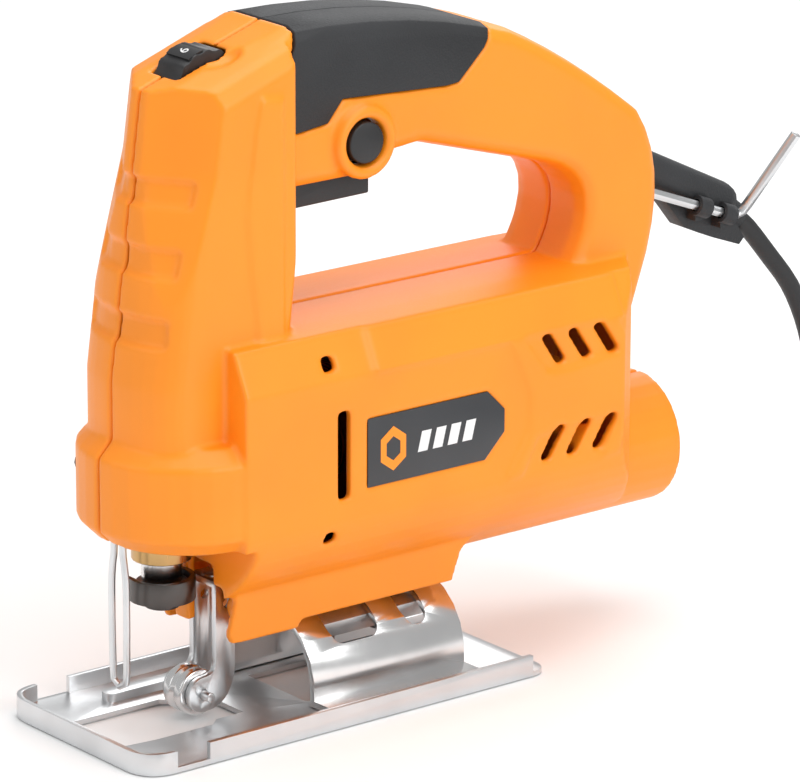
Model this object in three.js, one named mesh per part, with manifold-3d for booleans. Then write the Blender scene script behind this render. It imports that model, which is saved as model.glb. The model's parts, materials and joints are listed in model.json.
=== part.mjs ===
// A corded jigsaw: two plastic housing halves round a motor, a geared crank and a blade plunger,
// standing on a tilting pressed-steel sole. Millimetres. The front is -Y, the tool's left side is +X,
// and the sole's underside is Z = 0 with the origin in the web between the sole's two openings.
import * as THREE from "three";
import { mergeVertices } from "three/addons/utils/BufferGeometryUtils.js";
import Module from "manifold-3d";

const wasm = await Module();
wasm.setup();

// ---------------------------------------------------------------- driving dimensions
const GAP = 0.3; // between pieces that rest on each other
const RUNNING = 0.12; // between a shaft and its hole

const soleWidth = 72;
const soleFrontY = -63.5;
const soleRearY = 86;
const soleSheet = 1.6;
const soleFlange = 6.6;
const bladeSlotHalf = 13.5;
const bladeSlotNarrowHalf = 10.5;
const bladeSlotFrontY = -56;
const bladeSlotRearY = -10;

const archRadius = 21.6; // outside of the bevel saddle
const archSheet = 2;
const archAxisZ = 6.7;
const archFrontY = 8;
const archRearY = 65;
const archFootHalf = 29.5;

const bladeY = -31.6; // plunger axis
const plungerRadius = 6.1;
const plungerBottomZ = 44.8;
const plungerTopZ = 160;
const strokeHalf = 9; // also the crank's throw
const strokeRise = 5; // how far the plunger rests above mid-stroke
const ringRadius = 9.9;
const ringBottomZ = 39.2;
const ringTopZ = 46;

const wall = 2.6;
const bodyHalf = 33;
const bodyTopZ = 121;
const bodyFrontY = -25;
const bodyRearY = 119;
const noseBackY = -20.5; // front of the body under the boot
const barrelRadius = 20.6; // round underside and dust port
const barrelZ = 54.4;
const portRearY = 151.7;
const portBackY = 121;
const bootHalf = 32.5;
const bootLength = 31.4;
const bootCentreY = -23;
const bootBottomZ = 59;
const bootTopZ = 91;
const bootChamfer = 5;
const columnHalf = 23;
const handleHalf = 18;
const keelHalf = 17;
const keelBottomZ = archAxisZ + archRadius + GAP;
const gripSkin = 2.2;

const motorZ = 77;
const toothModule = 1;
const pinionTeeth = 8;
const gearTeeth = 36;
const gearZ = motorZ + (toothModule * (pinionTeeth + gearTeeth)) / 2;
const gearFrontY = -14;
const gearWidth = 6;
const shaftRadius = 3.2;
const bearingRadius = 9.5;
const bearingWidth = 6;
const gearPlateY = -5;
const gearPlateThick = 8;
const rearBearingY = 100;
const fanY = 5;
const fanRadius = 24;
const fanWidth = 9;
const coreY = 32;
const coreLength = 36;
const coreRadius = 14;
const statorRadius = bodyHalf - 7.5;
const brushHolderX = bodyHalf - 7;
const airGap = 0.6;
const commutatorY = 80;
const commutatorLength = 12;
const commutatorRadius = 9;

const frontScrewY = 27; // the two bevel screws
const rearScrewY = 50;
const bevelScrewRadius = 2.5;
const bevelScrewDepth = 6;
const bevelHeadRadius = 4.2;

const forkHalf = 6.6;
const forkSheet = 2;
const forkTopZ = 42.3;
const forkFrontY = -17;
const forkRearY = -10;
const rollerY = -21.5;
const rollerZ = 8.4;
const rollerRadius = 7.2;
const rollerPinRadius = 1.5;
const guardY = -47;
const guardWire = 1.1;
const guardHalf = 3.4;

const bushRadius = 9;
const lowBushZ = [51.5, 66];
const highBushZ = [138.5, 147.5];
const ductHalf = 9.2;
const ductBottomZ = 39.2;
const ductTopZ = 48.6;

const triggerFrontY = 1;
const triggerRearY = 36.5;
const triggerHalf = 11;
const triggerHouseZ = 159.5;
const lockY = 28.5;
const lockZ = 170.8;
const lockRadius = 6.2;
const lockProud = 2.4;
const dialY = -17.4;
const dialZ = 190.6;
const dialRadius = 12;
const dialHalf = 6;

const sleeveStart = new THREE.Vector3(0, 147.4, 140.9);
const sleeveEnd = new THREE.Vector3(0, 188, 121.2);
const sleeveRadius = 6.3;
const cordExit = new THREE.Vector3(0, 190.4, 117.3);
const cordExitDirection = new THREE.Vector3(0, 0.78, -0.626);
const cordRadius = 3;
const keyFlats = 3;
const keyStart = new THREE.Vector3(7.6, 141.7, 136.2);
const keyCorner = new THREE.Vector3(7.6, 184.7, 119.8);
const keyTip = new THREE.Vector3(21.6, 195.3, 147.6);
const keyGripLength = 8; // how far the key is pushed into the housing
const coilCentre = [16, 295];
const coilMeanRadius = 34.5;
const coilHalfWidth = 12.4;
const coilHeight = 11.8;

// ---------------------------------------------------------------- materials
const finish = (color, roughness, metalness) => ({ color, roughness, metalness });
const ORANGE = finish(0xf7871a, 0.45, 0);
const BLACK_SOFT = finish(0x2b2a2d, 0.75, 0);
const BLACK_HARD = finish(0x302e32, 0.5, 0);
const ZINC = finish(0xb9bfc2, 0.35, 1);
const BRIGHT_STEEL = finish(0xc9ccce, 0.25, 1);
const DARK_STEEL = finish(0x4b3f37, 0.45, 1);
const BRONZE = finish(0x9c6a35, 0.4, 1);
const ALUMINIUM = finish(0xa7a9ab, 0.45, 1);
const COPPER = finish(0xa85a2a, 0.4, 1);
const CARBON = finish(0x202020, 0.7, 0);
const LAMINATION = finish(0x6d7073, 0.5, 1);
const NYLON = finish(0xd8d4c8, 0.6, 0);
const BOARD = finish(0x2f6b3c, 0.6, 0);
const LABEL = finish(0x37383d, 0.5, 0);
const CORD_BLACK = finish(0x26262a, 0.6, 0);

const jigsaw = new THREE.Group();

// ---------------------------------------------------------------- geometry helpers
function bare(geometry) {
  const plain = new THREE.BufferGeometry();
  plain.setAttribute("position", geometry.getAttribute("position"));
  plain.setIndex(geometry.getIndex());
  return mergeVertices(plain, 1e-4);
}

function solid(geometry) {
  const merged = bare(geometry);
  return new wasm.Manifold(
    new wasm.Mesh({
      numProp: 3,
      vertProperties: new Float32Array(merged.getAttribute("position").array),
      triVerts: new Uint32Array(merged.getIndex().array),
    })
  );
}

function geometryOf(body) {
  const mesh = body.getMesh();
  const geometry = new THREE.BufferGeometry();
  geometry.setAttribute("position", new THREE.BufferAttribute(new Float32Array(mesh.vertProperties), 3));
  geometry.setIndex(new THREE.BufferAttribute(new Uint32Array(mesh.triVerts), 1));
  return geometry;
}

function addPart(name, body, look) {
  const geometry = body.isBufferGeometry ? body : geometryOf(body);
  geometry.computeVertexNormals();
  const mesh = new THREE.Mesh(geometry, new THREE.MeshStandardMaterial(look));
  mesh.name = name;
  jigsaw.add(mesh);
}

const joined = (bodies) => bodies.reduce((sum, body) => sum.add(body));
const cut = (body, tools) => tools.reduce((rest, tool) => rest.subtract(tool), body);
const outline = (points) => new THREE.Shape(points.map(([a, b]) => new THREE.Vector2(a, b)));

// A shape drawn in (y, z), run from x0 to x1. A bevel eats into the outline at both ends.
function runAlongX(shape, x0, x1, bevel = null) {
  const thick = bevel ? bevel.thick : 0;
  const geometry = new THREE.ExtrudeGeometry(shape, {
    depth: x1 - x0 - 2 * thick,
    curveSegments: 6,
    bevelEnabled: Boolean(bevel),
    bevelThickness: thick,
    bevelSize: bevel ? bevel.size : 0,
    bevelOffset: bevel ? -bevel.size : 0,
    bevelSegments: bevel ? bevel.segments : 1,
  });
  geometry.translate(0, 0, x0 + thick);
  const toRow = new THREE.Matrix4().makeBasis(
    new THREE.Vector3(0, 1, 0),
    new THREE.Vector3(0, 0, 1),
    new THREE.Vector3(1, 0, 0)
  );
  geometry.applyMatrix4(toRow);
  return geometry;
}

const prismX = (shape, x0, x1, bevel = null) => solid(runAlongX(shape, x0, x1, bevel));

// A shape drawn in (x, z), run from y0 to y1.
function runAlongY(shape, y0, y1) {
  const geometry = new THREE.ExtrudeGeometry(shape, {
    depth: y1 - y0,
    curveSegments: 6,
    bevelEnabled: false,
  });
  geometry.rotateX(Math.PI / 2);
  geometry.translate(0, y1, 0);
  return geometry;
}

const prismY = (shape, y0, y1) => solid(runAlongY(shape, y0, y1));

// A shape drawn in (x, y), run from z0 to z1, with an optional chamfer at both ends.
function prismZ(shape, z0, z1, chamfer = 0) {
  const geometry = new THREE.ExtrudeGeometry(shape, {
    depth: z1 - z0 - 2 * chamfer,
    curveSegments: 8,
    bevelEnabled: chamfer > 0,
    bevelThickness: chamfer,
    bevelSize: chamfer,
    bevelOffset: -chamfer,
    bevelSegments: 1,
  });
  geometry.translate(0, 0, z0 + chamfer);
  return solid(geometry);
}

function box(x0, x1, y0, y1, z0, z1) {
  const geometry = new THREE.BoxGeometry(x1 - x0, y1 - y0, z1 - z0);
  geometry.translate((x0 + x1) / 2, (y0 + y1) / 2, (z0 + z1) / 2);
  return solid(geometry);
}

function cylinderX(radius, x0, x1, y, z, sides = 24) {
  const geometry = new THREE.CylinderGeometry(radius, radius, x1 - x0, sides);
  geometry.rotateZ(-Math.PI / 2);
  geometry.translate((x0 + x1) / 2, y, z);
  return solid(geometry);
}

function cylinderY(radius, y0, y1, x, z, sides = 24) {
  const geometry = new THREE.CylinderGeometry(radius, radius, y1 - y0, sides);
  geometry.translate(x, (y0 + y1) / 2, z);
  return solid(geometry);
}

function cylinderZ(radius, z0, z1, x, y, sides = 24) {
  const geometry = new THREE.CylinderGeometry(radius, radius, z1 - z0, sides);
  geometry.rotateX(Math.PI / 2);
  geometry.translate(x, y, (z0 + z1) / 2);
  return solid(geometry);
}

// A closed (radius, height) profile turned about Z, then set down at (x, y).
function turnedZ(profile, x, y, sides = 24) {
  const geometry = new THREE.LatheGeometry(
    profile.map(([r, h]) => new THREE.Vector2(r, h)),
    sides
  );
  geometry.rotateX(Math.PI / 2);
  geometry.translate(x, y, 0);
  return solid(geometry);
}

function ringY(outer, inner, y0, y1, z, sides = 24) {
  return cylinderY(outer, y0, y1, 0, z, sides).subtract(cylinderY(inner, y0 - 1, y1 + 1, 0, z, sides));
}

function sectionOf(radius, sides) {
  const corners = Array.from({ length: sides }, (_, k) => (2 * Math.PI * k) / sides);
  return outline(corners.map((a) => [radius * Math.cos(a), radius * Math.sin(a)]));
}

function swept(radius, points, steps, sides = 8) {
  const path = new THREE.CatmullRomCurve3(points, false, "centripetal");
  return new THREE.ExtrudeGeometry(sectionOf(radius, sides), {
    steps,
    bevelEnabled: false,
    extrudePath: path,
  });
}

const vec = (x, y, z) => new THREE.Vector3(x, y, z);

// The same piece on the other side of the centre plane.
function mirrored(body) {
  const geometry = geometryOf(body);
  geometry.scale(-1, 1, 1);
  const index = geometry.getIndex().array;
  for (let k = 0; k < index.length; k += 3) {
    [index[k], index[k + 1]] = [index[k + 1], index[k]];
  }
  return solid(geometry);
}

const bothSides = (body) => body.add(mirrored(body));

// ---------------------------------------------------------------- housing outlines
// The closed handle seen from the side: outer edge, then the finger opening.
function handleShape(inset = 0) {
  const shape = new THREE.Shape();
  shape.moveTo(-12, 100);
  shape.lineTo(134 - inset, 98);
  shape.lineTo(141 - inset, 118);
  shape.quadraticCurveTo(149 - inset, 146 - inset, 136 - inset, 164 - inset);
  shape.quadraticCurveTo(110, 184 - inset, 86, 195.5 - inset);
  shape.quadraticCurveTo(48, 208.5 - inset, 4, 207.5 - inset);
  shape.lineTo(-12, 201.2 - inset);
  const opening = new THREE.Path();
  opening.moveTo(0, 113);
  opening.lineTo(-2, 152);
  opening.lineTo(2, triggerHouseZ);
  opening.lineTo(35, triggerHouseZ);
  opening.lineTo(42, 165);
  opening.lineTo(52, 166);
  opening.lineTo(99, 152.5);
  opening.quadraticCurveTo(119, 147, 113, 129);
  opening.quadraticCurveTo(110, 121, 103, 113);
  shape.holes.push(opening);
  return shape;
}

// The column: its side view, cut to a rounded plan that leans back above the knee.
const columnKneeZ = 108;
const columnLean = 0.135;

function columnShape() {
  const shape = new THREE.Shape();
  shape.moveTo(1, 86);
  shape.lineTo(1, 206.3);
  shape.lineTo(-11.3, 202.2);
  shape.lineTo(-36.9, 193.1);
  shape.lineTo(-60, 185);
  shape.lineTo(-60, 86);
  return shape;
}

const columnNoseY = -36.7; // where the flat sides end and the rounded front begins
const columnNoseDepth = 12.8;

function columnPlan(inset = 0) {
  const half = columnHalf - inset;
  const shape = new THREE.Shape();
  shape.moveTo(half, columnNoseY);
  shape.lineTo(half, -4 - inset);
  shape.lineTo(half - 5, 1 - inset);
  shape.lineTo(-half + 5, 1 - inset);
  shape.lineTo(-half, -4 - inset);
  shape.lineTo(-half, columnNoseY);
  shape.absellipse(0, columnNoseY, half, columnNoseDepth - inset, Math.PI, 2 * Math.PI, false);
  return shape;
}

function leaning(geometry) {
  const shear = new THREE.Matrix4().makeShear(0, 0, 0, 0, 0, columnLean);
  geometry.translate(0, 0, -columnKneeZ);
  geometry.applyMatrix4(shear);
  geometry.translate(0, 0, columnKneeZ);
  return solid(geometry);
}

// The plan run up from the body to the knee, then leaning back to the top.
function columnSleeve(inset) {
  const upright = { depth: columnKneeZ - 84, curveSegments: 8, bevelEnabled: false };
  const lower = new THREE.ExtrudeGeometry(columnPlan(inset), upright);
  lower.translate(0, 0, 84);
  const upper = new THREE.ExtrudeGeometry(columnPlan(inset), { ...upright, depth: 102 });
  upper.translate(0, 0, columnKneeZ);
  return solid(lower).add(leaning(upper));
}

// The column has a slanted facet on each front corner, steeper in its upper part.
const cornerTurn = 0.62;
const cornerFacet = [
  [-60, 100],
  [-49, 111],
  [-35.6, 170],
  [-33.2, 191],
  [-31, 212],
];

function insideCorners(body, inset) {
  const facet = cornerFacet.map(([y, z]) => [y + inset, z]);
  const side = outline([[80, 212], [80, 40], [-60, 40], ...facet]);
  return [-cornerTurn, cornerTurn].reduce((rest, turn) => {
    const keep = runAlongX(side, -80, 80);
    keep.rotateZ(turn);
    return rest.intersect(solid(keep));
  }, body);
}

// The top falls forwards, and away to both sides.
const crownSlope = 0.355;
const crownTurnY = -11.3;

function columnCrown() {
  const half = [
    [columnHalf, 194],
    [columnHalf - 3, 198.7],
    [columnHalf - 5, 199.8],
    [columnHalf - 11, 201.6],
    [columnHalf - 15, 203],
  ];
  const mirrored = half.map(([x, z]) => [-x, z]).reverse();
  const geometry = runAlongY(outline([[-columnHalf, 60], [columnHalf, 60], ...half, ...mirrored]), -70, 30);
  geometry.translate(0, -crownTurnY, 0);
  geometry.applyMatrix4(new THREE.Matrix4().makeShear(0, 0, 0, crownSlope, 0, 0));
  geometry.translate(0, crownTurnY, 0);
  return solid(geometry);
}

function columnBlock() {
  const side = prismX(columnShape(), -columnHalf, columnHalf);
  return insideCorners(side.intersect(columnSleeve(0)).intersect(columnCrown()), 0);
}

// Motor body seen from the front: flat sides, a crowned deck and a round belly.
function bodySection(inset) {
  const half = bodyHalf - inset;
  const belly = barrelRadius - inset;
  const shape = new THREE.Shape();
  shape.moveTo(-half, 106);
  shape.lineTo(-half, 62);
  shape.quadraticCurveTo(-half + 2, 50, -belly * 0.72, barrelZ - belly * 0.69);
  shape.absarc(0, barrelZ, belly, -0.74 * Math.PI, -0.26 * Math.PI, false);
  shape.quadraticCurveTo(half - 2, 50, half, 62);
  shape.lineTo(half, 106);
  shape.lineTo(half - 6, 118.4 - inset);
  shape.quadraticCurveTo(0, bodyTopZ + 1.4 - inset, -half + 6, 118.4 - inset);
  shape.closePath();
  return shape;
}

// Motor body seen from above: square to the front, drawn in towards the handle post at the back.
function bodyPlan(inset) {
  const half = bodyHalf + 1 - inset;
  const rear = bodyRearY - inset;
  return outline([
    [-half, bodyFrontY],
    [half, bodyFrontY],
    [half, rear - 3],
    [half - 5, rear + 4],
    [handleHalf, rear + 11],
    [-handleHalf, rear + 11],
    [-half + 5, rear + 4],
    [-half, rear - 3],
  ]);
}

function bootPlan(inset) {
  const shape = new THREE.Shape();
  shape.moveTo(bootHalf - inset, -5);
  shape.lineTo(-bootHalf + inset, -5);
  shape.lineTo(-bootHalf + inset, bootCentreY);
  shape.absellipse(0, bootCentreY, bootHalf - inset, bootLength - inset, Math.PI, 2 * Math.PI, false);
  shape.closePath();
  return shape;
}

const bodyBlock = (inset, y0, y1) =>
  prismY(bodySection(inset), y0, y1).intersect(prismZ(bodyPlan(inset), 30, 125));

// The room under the nose for the roller fork.
const forkMouth = () => box(-keelHalf + wall, keelHalf - wall, bodyFrontY - 1, forkRearY + 6, 20, forkTopZ + 0.7);

const lug = () => cylinderY(3.7, forkRearY - 4, forkRearY + 7, 10.8, 34.5, 16);

function keelBlock() {
  const side = outline([
    [-16, 62],
    [-16, 43],
    [-19.7, 29],
    [-18.5, 26.4],
    [-14.5, 26],
    [5.5, 26],
    [7.4, keelBottomZ],
    [64, keelBottomZ],
    [67.5, 38],
    [74, 42],
    [74, 62],
  ]);
  return prismX(side, -keelHalf, keelHalf).subtract(forkMouth()).add(bothSides(lug()));
}

const gripOutline = (grow) =>
  outline([
    [8 - grow, 214],
    [3.2 - grow, 200],
    [2.6 - grow, 182],
    [4.4 - grow, 176.6 - grow],
    [16, 178 - grow],
    [21.5, 184.5 - grow],
    [60, 182.6 - grow],
    [64.5, 183 - grow],
    [74 + grow, 192],
    [80 + grow, 203],
    [81 + grow, 214],
  ]);

const handleBevel = { thick: 6, size: 4, segments: 2 };

const gripCore = (skin) => prismX(handleShape(skin), -handleHalf + skin, handleHalf - skin, handleBevel);

function outerShell() {
  const handle = prismX(handleShape(), -handleHalf, handleHalf, handleBevel);
  const boot = prismZ(bootPlan(0), bootBottomZ, bootTopZ, bootChamfer);
  const barrel = cylinderY(barrelRadius, 60, portRearY, 0, barrelZ, 28);
  const underBoot = box(-bodyHalf - 1, bodyHalf + 1, bodyFrontY - 1, noseBackY, 20, bootBottomZ);
  const block = bodyBlock(0, bodyFrontY, bodyRearY + 12).subtract(underBoot);
  return joined([block, boot, columnBlock(), handle, barrel, keelBlock()]);
}

function innerSpace() {
  const column = outline([
    [-5, 84],
    [-5, 196],
    [-16, 196.8],
    [-31, 190.2],
    [-34.6, 186],
    [-40.2, 149],
    [-46.2, 108],
    [-46.2, 84],
  ]);
  const handle = outline([
    [-14, 163],
    [38, 163],
    [50, 169.5],
    [99, 155.8],
    [118, 149],
    [118, 112],
    [129, 112],
    [138, 138],
    [131, 160],
    [116, 173],
    [86, 190.6],
    [50, 199.5],
    [6, 201],
    [-14, 198],
  ]);
  const noseCover = box(-bodyHalf, bodyHalf, bodyFrontY - 1, noseBackY + wall, 30, bootBottomZ + wall);
  const floor = box(-keelHalf, keelHalf, bodyFrontY - 1, forkRearY + 6 + wall, 30, forkTopZ + 0.7 + wall);
  return joined([
    cut(bodyBlock(wall, bodyFrontY + wall, portBackY - wall), [noseCover, floor]),
    prismZ(bootPlan(wall), bootBottomZ + wall, bootTopZ - wall, bootChamfer - 1),
    insideCorners(prismX(column, -columnHalf, columnHalf).intersect(columnSleeve(wall + 0.4)), wall),
    prismX(handle, -handleHalf + 3.2, handleHalf - 3.2),
  ]);
}

// ---------------------------------------------------------------- housing details
const screwSpots = [
  { name: "handle_rear", y: 124, z: 163, head: -handleHalf + 1 },
  { name: "handle_top", y: 76, z: 182, head: -handleHalf + 1 },
  { name: "column", y: -2, z: 178, head: -handleHalf + 1 },
  { name: "boot", y: -44, z: 78, head: -20 },
  { name: "keel", y: -7, z: 53.6, head: -27 },
  { name: "deck", y: 111, z: 108, head: -bodyHalf + 2 },
  { name: "belly", y: 94, z: 53.4, head: -23 },
];
const bossRadius = 3.2;
const screwRadius = 1.5;
const headRadius = 2.8;
const headHeight = 2;
const wellRadius = headRadius + 0.5;
const screwTipX = 9;

// Vents: the upper row leans back going down, the lower row leans back going up.
function slantedSlot(y, zStart, zEnd) {
  const run = Math.abs(zEnd - zStart) * 0.86;
  const shape = outline([
    [y, zStart],
    [y + run, zEnd],
    [y + run + 2.8, zEnd],
    [y + 3.4, zStart],
  ]);
  return prismX(shape, 20, bodyHalf + 2);
}

function ventTools() {
  const rows = [84.4, 94.6, 104.6];
  const upper = rows.map((y) => slantedSlot(y, 105, 96));
  const lower = rows.map((y) => slantedSlot(y, 66.5, 76));
  const tall = box(20, 40, 8.4, 12.8, 69, 96);
  const shortTop = box(24, 40, 4, 8.4, 108, 112.6);
  const shortLow = box(20, 40, 4, 8.4, 56, 59.5);
  return [...upper, ...lower, tall, shortTop, shortLow].map(bothSides);
}

const labelThick = 0.8;
const labelOutline = (grow) =>
  outline([
    [19 - grow, 71 - grow],
    [63 + grow, 71 - grow],
    [70.5 + grow, 78.5],
    [70.5 + grow, 85.5],
    [64 + grow, 92 + grow],
    [19 - grow, 92 + grow],
  ]);

const rightHeadX = (spot) => spot.head - headHeight;

// What is added inside the shell: screw bosses, bearing walls, bush seats and the port's back wall.
function innerWebs() {
  const bosses = screwSpots.map((spot) =>
    cylinderX(bossRadius, spot.head, 40, spot.y, spot.z, 10).add(
      cylinderX(wellRadius + 1.4, -40, spot.head + 3, spot.y, spot.z, 12)
    )
  );
  const rearWall = box(-bodyHalf + 1, bodyHalf - 1, rearBearingY, rearBearingY + 4, 60, 92);
  const lowSeat = box(-14, 14, bladeY - 11, bladeY + 11, bootBottomZ + 1, 67);
  const highSeat = box(-columnHalf + 1.5, columnHalf - 1.5, bladeY - 7, bladeY + 9, 138, 148);
  const gearSeatRight = box(-bodyHalf + 1, -19, gearPlateY, gearPlateY + gearPlateThick, 64, 88);
  const gearSeatLeft = box(19, bodyHalf - 1, gearPlateY, gearPlateY + gearPlateThick, 64, 88);
  return joined([...bosses, rearWall, lowSeat, highSeat, gearSeatLeft, gearSeatRight]);
}

function clearances() {
  const screwHoles = screwSpots.map((spot) =>
    cylinderX(screwRadius + GAP, spot.head - 1, screwTipX + 1, spot.y, spot.z, 8)
  );
  const headWells = screwSpots.map((spot) =>
    cylinderX(wellRadius, -bodyHalf - 6, spot.head + 0.01, spot.y, spot.z, 12)
  );
  const plungerWay = cylinderZ(bushRadius + GAP, 40, 70, 0, bladeY, 24);
  const plungerRun = cylinderZ(plungerRadius + GAP, 60, plungerTopZ + 5, 0, bladeY, 24);
  const highBushWay = cylinderZ(bushRadius + GAP, 130, 150, 0, bladeY, 24);
  const rearBearingWay = cylinderY(bearingRadius + GAP, rearBearingY - 2, rearBearingY + 5, 0, motorZ, 24);
  const triggerWay = box(-triggerHalf - 0.5, triggerHalf + 0.5, triggerFrontY - 3, triggerRearY + 0.8, 150, 164);
  const lockWell = cylinderX(lockRadius + 0.8, 0, 30, lockY, lockZ, 32);
  const dialWay = cylinderX(dialRadius + 0.6, -dialHalf - 0.5, dialHalf + 0.5, dialY, dialZ, 32);
  const guardWay = box(-guardHalf - 2, guardHalf + 2, guardY - 2, guardY + 2, 50, 69);
  const port = cylinderY(barrelRadius - wall, portBackY, portRearY + 5, 0, barrelZ, 28);
  const duct = box(-ductHalf - GAP, ductHalf + GAP, -30, 135, ductBottomZ - GAP, ductTopZ + GAP);
  const sleeveWay = alongSleeve(sectionPrism(sleeveRadius + GAP, 24, -9, 30));
  const cordWay = alongSleeve(sectionPrism(cordRadius + 1.5, 16, -40, 0));
  const keyWay = alongKey(sectionPrism(keyCorners + GAP, 12, -keyGripLength - GAP, 30));
  const bevelScrewWays = [frontScrewY, rearScrewY].map((y) =>
    cylinderZ(bevelScrewRadius + GAP, 20, keelBottomZ + bevelScrewDepth + GAP, 0, y, 16)
  );
  return [
    ...screwHoles,
    ...headWells,
    plungerWay,
    plungerRun,
    highBushWay,
    rearBearingWay,
    triggerWay,
    lockWell,
    dialWay,
    guardWay,
    port,
    duct,
    sleeveWay,
    cordWay,
    keyWay,
    ...bevelScrewWays,
  ];
}

// Pieces drawn along Z are laid along the cord sleeve, or along the key's long arm.
function laidAlong(geometry, start, end) {
  const direction = end.clone().sub(start).normalize();
  const turn = new THREE.Quaternion().setFromUnitVectors(vec(0, 0, 1), direction);
  geometry.applyQuaternion(turn);
  geometry.translate(start.x, start.y, start.z);
  return solid(geometry);
}

const alongSleeve = (geometry) => laidAlong(geometry, sleeveStart, sleeveEnd);
const keyCorners = keyFlats / Math.sqrt(3);
const alongKey = (geometry) => laidAlong(geometry, keyStart, keyCorner);

function sectionPrism(radius, sides, z0, z1) {
  const geometry = new THREE.CylinderGeometry(radius, radius, z1 - z0, sides);
  geometry.rotateX(Math.PI / 2);
  geometry.translate(0, 0, (z0 + z1) / 2);
  return geometry;
}

function keyBoss() {
  return alongKey(sectionPrism(4, 16, -keyGripLength - 3, 1));
}

function makeHousing() {
  const outer = outerShell().add(keyBoss());
  const shell = outer.subtract(innerSpace()).add(innerWebs().intersect(outer));
  const gripPocket = prismX(gripOutline(GAP), -30, 30).subtract(gripCore(gripSkin + GAP));
  const labelPocket = bothSides(prismX(labelOutline(GAP), bodyHalf - labelThick - GAP, bodyHalf + 2));
  const lugs = bothSides(lug());
  const mouth = forkMouth().subtract(lugs);
  const complete = cut(shell, [...clearances(), ...ventTools(), gripPocket, labelPocket, mouth]);
  const leftSide = box(GAP / 2, 60, -100, 200, 0, 230);
  const rightSide = box(-60, -GAP / 2, -100, 200, 0, 230);
  const nozzle = box(-8.4, -1.6, -21.2, -18.4, 29, bootBottomZ + 3);
  addPart("left_housing", complete.intersect(leftSide), ORANGE);
  addPart("right_housing", complete.intersect(rightSide).add(nozzle), ORANGE);
}

function makeGrips() {
  const proud = prismX(handleShape(), -handleHalf, handleHalf, handleBevel);
  const grip = proud.intersect(prismX(gripOutline(0), -30, 30)).subtract(gripCore(gripSkin));
  addPart("left_grip", grip.intersect(box(GAP / 2, 60, -20, 120, 150, 230)), BLACK_SOFT);
  addPart("right_grip", grip.intersect(box(-60, -GAP / 2, -20, 120, 150, 230)), BLACK_SOFT);
}

function makeScrews() {
  for (const spot of screwSpots) {
    const shank = cylinderX(screwRadius, spot.head - 0.2, screwTipX, spot.y, spot.z, 8);
    const head = cylinderX(headRadius, rightHeadX(spot), spot.head - GAP / 2, spot.y, spot.z, 12);
    addPart(`housing_screw_${spot.name}`, shank.add(head), DARK_STEEL);
  }
}

function makeLabels() {
  const plate = prismX(labelOutline(0), bodyHalf - labelThick, bodyHalf);
  addPart("left_label", plate, LABEL);
  addPart("right_label", mirrored(plate), LABEL);
}

// ---------------------------------------------------------------- controls
function makeTrigger() {
  const side = new THREE.Shape();
  side.moveTo(triggerFrontY, 163);
  side.lineTo(triggerFrontY, 156);
  side.quadraticCurveTo(triggerFrontY - 0.4, 152.5, triggerFrontY + 0.6, 150.4);
  side.quadraticCurveTo(triggerFrontY + 3, 152.3, triggerFrontY + 7, 152.2);
  side.lineTo(triggerRearY, 152.6);
  side.lineTo(triggerRearY, 163);
  addPart("trigger", prismX(side, -triggerHalf, triggerHalf), BLACK_HARD);
  const switchCase = box(-10, 10, 8, 20.5, 168.5, 190);
  const rearCase = box(-10, 10, 20.5, 44, lockZ + lockRadius + 0.8, 190);
  addPart("switch_body", switchCase.add(rearCase), BLACK_HARD);
}

function makeLockButton() {
  const cap = cylinderX(lockRadius, 15.4, handleHalf + lockProud, lockY, lockZ, 32);
  const stem = cylinderX(2.5, 9, 16, lockY, lockZ, 16);
  addPart("lock_button", cap.add(stem), BLACK_HARD);
}

function makeDial() {
  const rimPoints = Array.from({ length: 64 }, (_, k) => {
    const angle = (2 * Math.PI * k) / 64;
    const radius = k % 4 < 2 ? dialRadius : dialRadius - 0.5;
    return [radius * Math.cos(angle), radius * Math.sin(angle)];
  });
  const wheel = prismX(outline(rimPoints), -dialHalf, dialHalf);
  const placed = geometryOf(wheel);
  placed.translate(0, dialY, dialZ);
  const axleHole = cylinderX(1.8, -20, 20, dialY, dialZ, 12);
  addPart("speed_dial", solid(placed).subtract(axleHole), BLACK_HARD);
  const axle = cylinderX(1.5, -9, 9, dialY, dialZ, 12);
  const boardPlate = box(-9, 9, -23.5, -5.5, 170, 171.6);
  const fork = [-8.5, 6.9].map((x) => box(x, x + 1.6, dialY - 2.5, dialY + 2.5, 171, dialZ + 2.5));
  addPart("speed_board", joined([boardPlate, axle, ...fork]), BOARD);
}

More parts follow.
